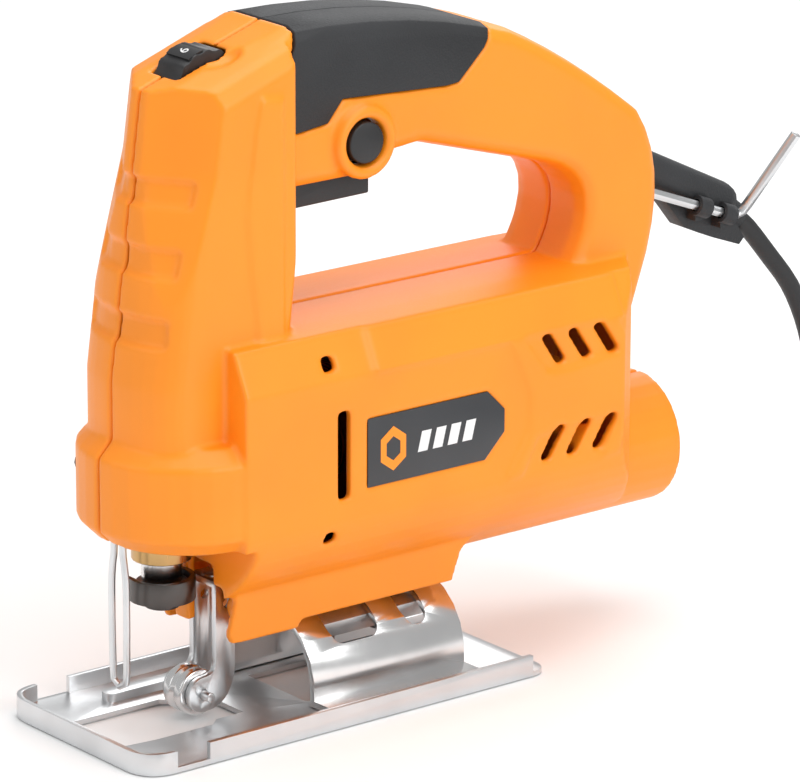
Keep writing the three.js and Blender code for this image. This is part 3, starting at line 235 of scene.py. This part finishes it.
def laid_in_rows(name, colour, crest_colour, roughness, metallic, fineness, edges, depth, waver=0.0):
    """Metal in rows along the motor's axis: enamelled winding wire or stacked iron sheets."""
    finish = Finish(name, colour, roughness, metallic)
    rows = finish.node(
        "ShaderNodeTexWave",
        {"bands_direction": "Y"},
        {"Vector": finish.place(), "Scale": fineness, "Distortion": waver},
        output=WAVE_VALUE,
    )
    finish.tint(rows.step(*edges), crest_colour)
    finish.bump(rows, depth)
    return finish.material


ORANGE = (1.0, 0.29, 0.008)
ALONG_X, ALONG_Y, ALONG_Z = (0.08, 1, 1), (1, 0.05, 1), (1, 1, 0.08)
FINISHES = {
    "housing_plastic": moulded("housing_plastic", ORANGE, 0.42, 1500.0, 2.5e-5, 0.93),
    "grip_rubber": moulded("grip_rubber", (0.016, 0.017, 0.019), 0.6, 1400.0, 1.6e-4, 1.5),
    "black_plastic": moulded("black_plastic", (0.012, 0.012, 0.013), 0.42, 1300.0, 2e-5, 1.4),
    "zinc_steel": worked_metal("zinc_steel", (0.72, 0.73, 0.74), 0.38, ALONG_Y, 700.0),
    "bright_steel": worked_metal("bright_steel", (0.82, 0.82, 0.82), 0.28, ALONG_Z, 600.0, 1e-6),
    "dark_steel": worked_metal("dark_steel", (0.11, 0.1, 0.095), 0.42, ALONG_Z),
    "bronze": worked_metal("bronze", (0.6, 0.38, 0.16), 0.36, ALONG_Z),
    "aluminium": worked_metal("aluminium", (0.6, 0.61, 0.62), 0.42, ALONG_X),
    "copper": laid_in_rows(
        "winding", (0.62, 0.2, 0.06), (0.3, 0.08, 0.02), 0.32, 0.85, 180.0, (0.2, 0.8), 2e-4, 0.6
    ),
    "carbon": moulded("carbon", (0.02, 0.02, 0.021), 0.6, 1800.0, 2e-5),
    "lamination": laid_in_rows(
        "lamination", (0.2, 0.2, 0.21), (0.1, 0.1, 0.11), 0.45, 0.9, 320.0, (0.3, 0.7), 6e-5
    ),
    "nylon": moulded("nylon", (0.75, 0.73, 0.68), 0.45, 900.0, 1e-5),
    "board": moulded("board", (0.02, 0.16, 0.07), 0.4, 500.0, 1e-5),
    "label_film": moulded("label_film", (0.032, 0.034, 0.038), 0.36, 1600.0, 6e-6, 1.3),
    "cord_jacket": moulded("cord_jacket", (0.012, 0.012, 0.013), 0.5, 1100.0, 1.5e-5, 1.5),
}

for node in nodes.values():
    slot_name = node.data.materials[0].name.split(".")[0]
    node.data.materials[0] = FINISHES[slot_name]
    node["made_of"] = slot_name


# ---------------------------------------------------------------- floor and light

FLOOR_REACH = 6.0
FLOOR_DROP = 0.0004
PAPER_COLOUR, PAPER_ROUGHNESS = (0.92, 0.92, 0.92), 0.7
LIGHT_AIM = Vector((0, 0.06, 0.09))
SOFTBOXES = (  # name, place, power in watts, side in metres
    ("front_light", (-0.2, -1.1, 0.7), 2.2, 0.8),
    ("side_light", (1.25, 0.15, 0.75), 8, 0.9),
    ("top_light", (0.1, 0.2, 1.5), 15, 1.3),
    ("back_light", (-0.8, 1.0, 0.8), 4, 0.8),
)
AIR_STRENGTH = 0.5


def add_floor():
    """A plain pale floor, a hair below the sole."""
    mesh = bpy.data.meshes.new("studio_floor")
    build = bmesh.new()
    bmesh.ops.create_grid(build, x_segments=1, y_segments=1, size=FLOOR_REACH)
    bmesh.ops.translate(build, verts=build.verts, vec=(0, 0, -FLOOR_DROP))
    build.to_mesh(mesh)
    build.free()
    floor = bpy.data.objects.new("studio_floor", mesh)
    mesh.materials.append(Finish("studio_paper", PAPER_COLOUR, PAPER_ROUGHNESS).material)
    scene.collection.objects.link(floor)


def add_softbox(name, place, power, side):
    """A square soft light that faces the tool."""
    data = bpy.data.lights.new(name, "AREA")
    data.shape = "RECTANGLE"
    data.size = side
    data.size_y = side
    data.energy = power
    lamp = bpy.data.objects.new(name, data)
    lamp.location = place
    lamp.rotation_mode = "QUATERNION"
    lamp.rotation_quaternion = (Vector(place) - LIGHT_AIM).to_track_quat("Z", "Y")
    scene.collection.objects.link(lamp)


def add_studio():
    """The floor, the soft lights and an even white air."""
    add_floor()
    for softbox in SOFTBOXES:
        add_softbox(*softbox)
    world = bpy.data.worlds.new("studio_air")
    world.use_nodes = True
    sky = world.node_tree.nodes["Background"]
    sky.inputs["Color"].default_value = (1, 1, 1, 1)
    sky.inputs["Strength"].default_value = AIR_STRENGTH
    scene.world = world
    scene.view_settings.view_transform = "Standard"


add_studio()


# ---------------------------------------------------------------- mains lead

CORD_RADIUS = 3.0
CORD_ROUNDNESS = 5
CORD_PARTS = 3
CORD_ROUTE = (  # from the sleeve's end down to the floor
    (0, 190.63, 117.1), (0, 195.5, 113), (0, 204.4, 102.8), (0, 213.6, 91.6), (0.2, 219.8, 79.6),
    (0.8, 223.6, 66.6), (1.6, 226, 53.4), (3, 228, 40.4), (5.6, 230.6, 27.8), (10, 234, 16.6),
    (16, 238, 8.2), (22.5, 242.2, 4), (28.5, 246.2, 3.15),
)
COIL_CENTRE = (16, 295)
COIL_OUTER = 46.2
COIL_PITCH = 6.08
COIL_ROW_RISE = 6.1
COIL_FLOOR = 3.15
COIL_ENTRY = math.radians(-53.13)
TAIL_LEAVE = math.radians(159.2)
TAIL_SWEEP = math.radians(80)
TAIL_BEND = 27
TAIL_CLIMB = 25
TAIL_HEIGHT = 21
TAIL_LENGTH = 14
BEND_STEPS = 8
COIL_WHOLE_TURNS = 7
ROW_CHANGE = 0.3  # the share of a turn in which the lead climbs to the top row
COIL_TURNS = COIL_WHOLE_TURNS + (TAIL_LEAVE - COIL_ENTRY) / math.tau
STEPS_A_TURN = 24


def eased(share):
    """0 to 1 with a smooth start and a smooth end."""
    share = min(max(share, 0), 1)
    return share * share * (3 - 2 * share)


def climbed(reach):
    """How far the far end has climbed, a length past the place where it leaves the coil."""
    whole = TAIL_CLIMB + TAIL_BEND * TAIL_SWEEP
    return (TAIL_HEIGHT - COIL_FLOOR - COIL_ROW_RISE) * eased((TAIL_CLIMB + reach) / whole)


def tail_point(sweep, along):
    """A point of the bend in over the coil, then of the straight run to the plug."""
    angle = TAIL_LEAVE + sweep
    inset = COIL_OUTER - TAIL_BEND
    return (
        COIL_CENTRE[0] + inset * math.cos(TAIL_LEAVE) + TAIL_BEND * math.cos(angle) - along * math.sin(angle),
        COIL_CENTRE[1] + inset * math.sin(TAIL_LEAVE) + TAIL_BEND * math.sin(angle) + along * math.cos(angle),
        COIL_FLOOR + COIL_ROW_RISE + climbed(TAIL_BEND * sweep),
    )


def coil_points():
    """Two flat spirals, in to the middle on the floor and out again on top."""
    steps = round(COIL_TURNS * STEPS_A_TURN)
    middle = COIL_TURNS / 2
    points = []
    for step in range(1, steps + 1):
        turn = COIL_TURNS * step / steps
        radius = COIL_OUTER - COIL_PITCH * (middle - abs(turn - middle))
        height = COIL_FLOOR + COIL_ROW_RISE * eased((turn - middle + ROW_CHANGE) / ROW_CHANGE)
        left = (COIL_TURNS - turn) * math.tau * COIL_OUTER
        height += climbed(-left)
        angle = COIL_ENTRY + math.tau * turn
        points.append((
            COIL_CENTRE[0] + radius * math.cos(angle),
            COIL_CENTRE[1] + radius * math.sin(angle),
            height,
        ))
    return points


def cord_points():
    """The whole lead, from the sleeve through the coil to the plug."""
    bend = [tail_point(TAIL_SWEEP * k / BEND_STEPS, 0) for k in range(1, BEND_STEPS + 1)]
    tail = [tail_point(TAIL_SWEEP, reach) for reach in (TAIL_LENGTH / 2, TAIL_LENGTH)]
    return [mm(*p) for p in (*CORD_ROUTE, *coil_points(), *bend, *tail)]


def smooth_line(points, parts):
    """The curve through the points, with a few straight parts between each two."""
    line = []
    last = len(points) - 1
    for i in range(last):
        before, here = points[max(i - 1, 0)], points[i]
        there, after = points[i + 1], points[min(i + 2, last)]
        for part in range(parts):
            t = part / parts
            line.append(0.5 * (
                2 * here
                + (there - before) * t
                + (2 * before - 5 * here + 4 * there - after) * t * t
                + (3 * here - before - 3 * there + after) * t * t * t
            ))
    line.append(points[last])
    return line


def add_cord():
    """The round mains lead, in one piece."""
    line = smooth_line(cord_points(), CORD_PARTS)
    data = bpy.data.curves.new("mains_lead", "CURVE")
    data.dimensions = "3D"
    data.bevel_depth = CORD_RADIUS * MM
    data.bevel_resolution = CORD_ROUNDNESS
    data.use_fill_caps = True
    spline = data.splines.new("POLY")
    spline.points.add(len(line) - 1)
    for place, point in zip(spline.points, line):
        place.co = (*point, 1)
    spline.use_smooth = True
    data.materials.append(FINISHES["cord_jacket"])
    lead = bpy.data.objects.new("mains_lead", data)
    scene.collection.objects.link(lead)
    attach(lead, "housing")
    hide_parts("cord", "cord_coil", "cord_tail")
    length = sum((b - a).length for a, b in zip(line, line[1:]))


add_cord()


# ---------------------------------------------------------------- moulded housing

VOXEL = 0.8 * MM
RELAX_PASSES = 3
HALF_FACES = 180000

PANEL_X = 33.0
PANEL_ROOT, PANEL_RISE = 1.2, 0.9
CUTTER_REACH = 4
REAR_PANEL = (
    (72.5, 105.6), (80.2, 88.6), (80.2, 76.5), (71.8, 63.5), (115, 63.5), (117, 70), (117, 100),
    (114, 105.6),
)
UPPER_VENT_FIELD = ((76.4, 106.5), (84.3, 106.5), (108, 106.5), (114.8, 95.4), (92, 93.1), (86.4, 94))
LOWER_VENT_FIELD = ((76.4, 62), (83, 74.7), (93.2, 75.6), (115.2, 76.2), (108, 62), (85.8, 62))
VENTS = 3
VENT_DEPTH = 5
VENT_PITCH = 10.1
UPPER_VENT = ((84.2, 105.4), (88.4, 105.4), (95, 95.6), (90.8, 95.6))
LOWER_VENT = ((84.2, 66.2), (88.4, 66.2), (95, 76.4), (90.8, 76.4))
RAIL_SECTION = ((32, 104.9), (33.9, 106), (28, 118.2), (26.5, 118))
RAIL_Y = (22, 116)

CHEEK_X = (21.8, 24.2)
CHEEK_FOOT = (
    (-12.1, 193.7), (-15.5, 181), (-18.9, 168.2), (-21.2, 159.8), (-19.1, 138.9), (-15.3, 104.7),
    (-2, 104.7), (-2, 192),
)
CHEEK_FACE = (
    (-11.6, 190), (-13.6, 181), (-15.4, 167), (-16.3, 158), (-14.8, 138.9), (-10.8, 106.5),
    (-5, 106.5), (-5, 189),
)

BAND_HEIGHTS = ((160.5, 168.5), (140.5, 149), (120.5, 129))
BAND_DEPTH = 1.6
BAND_HALF = 17.0
BAND_RAMP, BAND_END_RISE = 1.8, 0.3
BAND_ACROSS = (0, 3, 6, 9, 12, 14.5, BAND_HALF)
BAND_CUTTER_X, BAND_CUTTER_Y = BAND_HALF + 4, -60
NOSE_Y, NOSE_HALF, NOSE_DEPTH = -36.7, 23.0, 12.8
KNEE_Z, COLUMN_LEAN = 108, 0.135
CORNER_TURN = 0.62
CORNER_FACET = ((100, 60), (111, 49), (170, 35.6), (191, 33.2), (212, 31))

LOCK_PLACE = (28.5, 170.8)
COLLAR_RADIUS, COLLAR_BEAD = 9.1, 2.0
COLLAR_X = 19.0
COLLAR_SEGMENTS, COLLAR_STEPS = 12, 40
SCOOP_PLACE, SCOOP_SIZE = (10.2, -18.5, 202.5), (4.2, 9.0, 4.6)

GROOVE_WIDTH, GROOVE_DEPTH, GROOVE_REACH = 1.1, 0.9, 3
GROOVES = (
    ((79.5, 197), (81.8, 191), (77.7, 182.4), (99, 173.7), (123, 161.4), (123.8, 165), (120, 174.5)),
    (
        (45.8, 167.4), (56, 175.7), (73.6, 173.9), (99, 166.6), (109, 162.4), (110.4, 160.6),
        (109.6, 156.4), (103.5, 150.6),
    ),
)
HANDLE_X = 18.0


def finished(build, name, finish):
    """Turns a bmesh into a named piece with that finish."""
    mesh = bpy.data.meshes.new(name)
    bmesh.ops.recalc_face_normals(build, faces=build.faces)
    build.to_mesh(mesh)
    build.free()
    mesh.materials.append(FINISHES[finish])
    piece = bpy.data.objects.new(name, mesh)
    scene.collection.objects.link(piece)
    return piece


def loft(build, foot, face):
    """Adds a closed block between two outlines of as many points."""
    low = [build.verts.new(mm(*p)) for p in foot]
    bottom = build.faces.new(low)
    run = bmesh.ops.extrude_face_region(build, geom=[bottom])
    high = [v for v in run["geom"] if isinstance(v, bmesh.types.BMVert)]
    partner = {min(range(len(foot)), key=lambda i: (low[i].co - v.co).length): v for v in high}
    for i, place in enumerate(face):
        partner[i].co = mm(*place)


def slab(build, corners, x0, x1):
    """Adds a (y, z) outline run from x0 to x1."""
    loft(build, [(x0, y, z) for y, z in corners], [(x1, y, z) for y, z in corners])


def shifted(corners, along):
    """The same (y, z) outline, further back."""
    return [(y + along, z) for y, z in corners]


def nose_y(x, z):
    """The column's front surface at that place across and that height."""
    lean = COLUMN_LEAN * max(z - KNEE_Z, 0)
    round_front = NOSE_Y + lean - NOSE_DEPTH * math.sqrt(1 - (x / NOSE_HALF) ** 2)
    reach = CORNER_FACET[-1][1]
    for (z0, d0), (z1, d1) in zip(CORNER_FACET, CORNER_FACET[1:]):
        if z0 <= z <= z1:
            reach = d0 + (d1 - d0) * (z - z0) / (z1 - z0)
    corner = (math.sin(CORNER_TURN) * abs(x) - reach) / math.cos(CORNER_TURN)
    return max(round_front, corner)


def finger_band(build, side, low, high):
    """Adds the cutter of one finger band: a strip round the column's front."""
    across = [*BAND_ACROSS, BAND_HALF + BAND_RAMP]
    depth = [BAND_DEPTH] * len(BAND_ACROSS) + [-BAND_END_RISE]
    ring = [(side * x, nose_y(x, low) + d, low) for x, d in zip(across, depth)]
    top = [(side * x, nose_y(x, high) + d, high) for x, d in zip(across, depth)]
    for points, z in ((ring, low), (top, high)):
        points.append((side * BAND_CUTTER_X, BAND_CUTTER_Y, z))
        points.append((0, BAND_CUTTER_Y, z))
    loft(build, ring, top)


def groove(build, side, points):
    """Adds thin blocks that engrave a line in the handle's side."""
    outer, inner = side * (HANDLE_X + GROOVE_REACH), side * (HANDLE_X - GROOVE_DEPTH)
    for (y0, z0), (y1, z1) in zip(points, points[1:]):
        along = Vector((y1 - y0, z1 - z0)).normalized()
        across = Vector((-along.y, along.x)) * GROOVE_WIDTH / 2
        start = Vector((y0, z0)) - along * GROOVE_WIDTH / 2
        end = Vector((y1, z1)) + along * GROOVE_WIDTH / 2
        corners = [start + across, end + across, end - across, start - across]
        slab(build, [tuple(c) for c in corners], inner, outer)


def raised_parts(side):
    """What stands proud of one side: the vent panel, the rail above it and the column's cheek."""
    build = bmesh.new()
    slab(build, REAR_PANEL, side * (PANEL_X - PANEL_ROOT), side * (PANEL_X + PANEL_RISE))
    rail = [[(side * x, y, z) for x, z in RAIL_SECTION] for y in RAIL_Y]
    loft(build, *rail)
    foot = [(side * CHEEK_X[0], y, z) for y, z in CHEEK_FOOT]
    face = [(side * CHEEK_X[1], y, z) for y, z in CHEEK_FACE]
    loft(build, foot, face)
    return finished(build, "raised_parts", "housing_plastic")


def lock_collar(side):
    """The rounded collar round the lock button."""
    build = bmesh.new()
    turn = Matrix.Translation(mm(side * COLLAR_X, *LOCK_PLACE)) @ Matrix.Rotation(math.pi / 2, 4, "Y")
    ring = bmesh.ops.create_circle(
        build, segments=COLLAR_SEGMENTS, radius=COLLAR_BEAD * MM,
        matrix=Matrix.Translation(mm(COLLAR_RADIUS, 0, 0)) @ Matrix.Rotation(math.pi / 2, 4, "X"),
    )
    edges = {edge for vert in ring["verts"] for edge in vert.link_edges}
    bmesh.ops.spin(
        build, geom=[*ring["verts"], *edges], axis=(0, 0, 1), cent=(0, 0, 0), angle=math.tau,
        steps=COLLAR_STEPS, use_merge=True,
    )
    bmesh.ops.transform(build, verts=build.verts, matrix=turn)
    return finished(build, "lock_collar", "housing_plastic")


def cut_parts(side):
    """What is cut into one side: vents, their fields, finger bands, engraved lines and a thumb scoop."""
    tools = []
    fields = bmesh.new()
    for field in (UPPER_VENT_FIELD, LOWER_VENT_FIELD):
        slab(fields, field, side * PANEL_X, side * (PANEL_X + CUTTER_REACH))
    tools.append(fields)
    vents = bmesh.new()
    for vent in (UPPER_VENT, LOWER_VENT):
        for k in range(VENTS):
            inner, outer = side * (PANEL_X - VENT_DEPTH), side * (PANEL_X + CUTTER_REACH)
            slab(vents, shifted(vent, VENT_PITCH * k), inner, outer)
    tools.append(vents)
    bands = bmesh.new()
    for low, high in BAND_HEIGHTS:
        finger_band(bands, side, low, high)
    tools.append(bands)
    for line in GROOVES:
        engraving = bmesh.new()
        groove(engraving, side, line)
        tools.append(engraving)
    if side > 0:
        scoop = bmesh.new()
        bmesh.ops.create_uvsphere(scoop, u_segments=24, v_segments=16, radius=MM)
        bmesh.ops.scale(scoop, vec=SCOOP_SIZE, verts=scoop.verts)
        bmesh.ops.translate(scoop, vec=mm(*SCOOP_PLACE), verts=scoop.verts)
        tools.append(scoop)
    return [finished(tool, "cutter", "housing_plastic") for tool in tools]


def merged_copy(node, name):
    """A CAD node's shape as a new piece with shared corners."""
    build = bmesh.new()
    build.from_mesh(nodes[node].data)
    bmesh.ops.remove_doubles(build, verts=build.verts, dist=MERGE_DISTANCE)
    mesh = bpy.data.meshes.new(name)
    build.to_mesh(mesh)
    build.free()
    piece = bpy.data.objects.new(name, mesh)
    scene.collection.objects.link(piece)
    mesh.materials.append(FINISHES[nodes[node]["made_of"]])
    return piece


def settle(piece):
    """Applies the piece's modifiers to its mesh."""
    bpy.context.view_layer.update()
    evaluated = piece.evaluated_get(bpy.context.evaluated_depsgraph_get())
    mesh = bpy.data.meshes.new_from_object(evaluated)
    piece.modifiers.clear()
    piece.data = mesh


def combine(piece, others, operation):
    """Adds or cuts the other shapes, which are used up."""
    for other in others:
        step = piece.modifiers.new(operation, "BOOLEAN")
        step.operation = operation
        step.solver = "EXACT"
        step.use_self = True
        step.object = other
        settle(piece)
        bpy.data.objects.remove(other)


def soften(piece):
    """Gives a shape the small round edges of a moulding."""
    remesh = piece.modifiers.new("remesh", "REMESH")
    remesh.mode = "VOXEL"
    remesh.voxel_size = VOXEL
    settle(piece)
    build = bmesh.new()
    build.from_mesh(piece.data)
    for _ in range(RELAX_PASSES):
        bmesh.ops.smooth_vert(
            build, verts=build.verts, factor=0.5, use_axis_x=True, use_axis_y=True, use_axis_z=True
        )
    for face in build.faces:
        face.smooth = True
    build.to_mesh(piece.data)
    build.free()
    triangles = 2 * len(piece.data.polygons)
    if triangles > HALF_FACES:
        thin = piece.modifiers.new("thin", "DECIMATE")
        thin.ratio = HALF_FACES / triangles
        settle(piece)


def moulded_half(node, name, side):
    """One housing half with its raised and sunk details and soft edges; +1 is the left side."""
    piece = merged_copy(node, name)
    proud = [raised_parts(side)]
    if side > 0:
        proud.append(lock_collar(side))
    combine(piece, proud, "UNION")
    combine(piece, cut_parts(side), "DIFFERENCE")
    soften(piece)
    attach(piece, "housing")
    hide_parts(node)


moulded_half("left_housing", "left_shell", 1)
moulded_half("right_housing", "right_shell", -1)


# ---------------------------------------------------------------- parts with their edges broken

SHARP_ANGLE = math.radians(38)
FLAT_ANGLE = math.radians(0.6)
EDGE_SEGMENTS = 2
EDGE_WIDTHS = {  # millimetres
    "sole_plate": 0.45, "bevel_arch": 0.35, "roller_fork": 0.6, "guide_roller": 0.25, "roller_pin": 0.3,
    "clamp_ring": 0.5, "blade_holder": 0.3, "plunger": 0.3, "lower_bush": 0.4, "wire_guard": 0.2,
    "left_grip": 0.9, "right_grip": 0.9, "left_label": 0.15, "right_label": 0.15, "trigger": 0.8,
    "lock_button": 0.5, "speed_dial": 0.15, "cord_sleeve": 0.5, "hex_key": 0.2,
    "bevel_clamp_block": 0.4, "front_bevel_screw": 0.2, "rear_bevel_screw": 0.2,
    "dust_duct": 0.3, "cooling_fan": 0.2, "crank_gear": 0.1, "armature_shaft": 0.2, "commutator": 0.2,
}


def dressed(node, width):
    """A CAD node's shape with its sharp edges broken and its curves shaded smooth."""
    piece = merged_copy(node, node + "_finished")
    build = bmesh.new()
    build.from_mesh(piece.data)
    bmesh.ops.dissolve_limit(build, angle_limit=FLAT_ANGLE, verts=build.verts, edges=build.edges)
    for face in build.faces:
        face.smooth = True
    build.to_mesh(piece.data)
    build.free()
    edge = piece.modifiers.new("edge", "BEVEL")
    edge.width = width * MM
    edge.segments = EDGE_SEGMENTS
    edge.limit_method = "ANGLE"
    edge.angle_limit = SHARP_ANGLE
    edge.use_clamp_overlap = True
    edge.harden_normals = True
    settle(piece)
    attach(piece, nodes[node]["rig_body"])
    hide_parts(node)


for node_name, edge_width in EDGE_WIDTHS.items():
    dressed(node_name, edge_width)


# ---------------------------------------------------------------- printed marks

LABEL_FACE_X = 33.0
PRINT_THICKNESS = 0.08
HEX_PLACE, HEX_SIZE, HEX_WAIST, HEX_HOLE = (28.4, 81.4), 6.8, 4.7, 0.55
BAR_START, BAR_PITCH, BAR_WIDTH, BAR_LEAN = 37.5, 5.6, 3.6, 1.6
BAR_LOW, BAR_HIGH, BAR_COUNT = 78.4, 84.6, 4
FINISHES["print_orange"] = moulded("print_orange", ORANGE, 0.4, 1500.0, 4e-6)
FINISHES["print_white"] = moulded("print_white", (0.85, 0.85, 0.85), 0.4, 1500.0, 4e-6)


def hexagon(scale):
    """The (y, z) corners of the hexagon, at that share of its full size."""
    y, z = HEX_PLACE
    half, waist = HEX_SIZE * scale, HEX_WAIST * scale
    return [
        (y, z + half), (y + waist, z + half / 2), (y + waist, z - half / 2),
        (y, z - half), (y - waist, z - half / 2), (y - waist, z + half / 2),
    ]


def add_label_marks(side, name):
    """A plain hexagon and a row of slanted bars on the label."""
    low, high = side * LABEL_FACE_X, side * (LABEL_FACE_X + PRINT_THICKNESS)
    outer, inner = hexagon(1), hexagon(HEX_HOLE)
    build = bmesh.new()
    for k in range(len(outer)):
        after = (k + 1) % len(outer)
        slab(build, [outer[k], outer[after], inner[after], inner[k]], low, high)
    hex_mark = finished(build, name + "_hexagon", "print_orange")
    build = bmesh.new()
    for k in range(BAR_COUNT):
        y = BAR_START + BAR_PITCH * k
        bar = [
            (y, BAR_LOW), (y + BAR_WIDTH, BAR_LOW),
            (y + BAR_WIDTH + BAR_LEAN, BAR_HIGH), (y + BAR_LEAN, BAR_HIGH),
        ]
        slab(build, bar, low, high)
    bars = finished(build, name + "_bars", "print_white")
    for mark in (hex_mark, bars):
        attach(mark, "housing")


add_label_marks(1, "left_mark")
add_label_marks(-1, "right_mark")

DIAL_CENTRE = Vector((0, -17.4, 190.6))
DIAL_RADIUS = 12.0
STRIP_ANGLE = math.radians(22)
STRIP_SPAN = math.radians(26)
STRIP_STEPS = 8
STRIP_HALF, STRIP_ROOT, STRIP_RISE = 5.4, 1, 0.12
NUMERAL_SIZE, NUMERAL_DEPTH, NUMERAL_RISE = 5.0, 0.06, 0.16


def add_dial_band():
    """The smooth band on the ribbed wheel, with its number."""
    build = bmesh.new()
    low, high = DIAL_RADIUS - STRIP_ROOT, DIAL_RADIUS + STRIP_RISE
    section = ((low, -STRIP_HALF), (low, STRIP_HALF), (high, STRIP_HALF), (high, -STRIP_HALF))
    rows = []
    for k in range(STRIP_STEPS + 1):
        angle = STRIP_ANGLE + STRIP_SPAN * (k / STRIP_STEPS - 0.5)
        across = Vector((0, -math.sin(angle), math.cos(angle)))
        rows.append([DIAL_CENTRE + across * radius + Vector((x, 0, 0)) for radius, x in section])
    for near, far in zip(rows, rows[1:]):
        loft(build, near, far)
    bmesh.ops.remove_doubles(build, verts=build.verts, dist=MERGE_DISTANCE)
    band = finished(build, "dial_band", "black_plastic")
    text = bpy.data.curves.new("dial_number", "FONT")
    text.body = "6"
    text.size = NUMERAL_SIZE * MM
    text.extrude = NUMERAL_DEPTH * MM
    text.align_x = "CENTER"
    text.align_y = "CENTER"
    number = bpy.data.objects.new("dial_number", text)
    scene.collection.objects.link(number)
    printed = bpy.data.meshes.new_from_object(number)
    bpy.data.objects.remove(number)
    outward = Vector((0, -math.sin(STRIP_ANGLE), math.cos(STRIP_ANGLE)))
    place = Matrix.Translation((DIAL_CENTRE + outward * (DIAL_RADIUS + NUMERAL_RISE)) * MM)
    upright = Vector((-1, 0, 0))
    turn = Matrix((outward.cross(upright) * -1, upright, outward)).transposed().to_4x4()
    printed.transform(place @ turn)
    printed.materials.clear()
    printed.materials.append(FINISHES["print_white"])
    number = bpy.data.objects.new("dial_number", printed)
    scene.collection.objects.link(number)
    for piece in (band, number):
        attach(piece, "speed_dial")


add_dial_band()
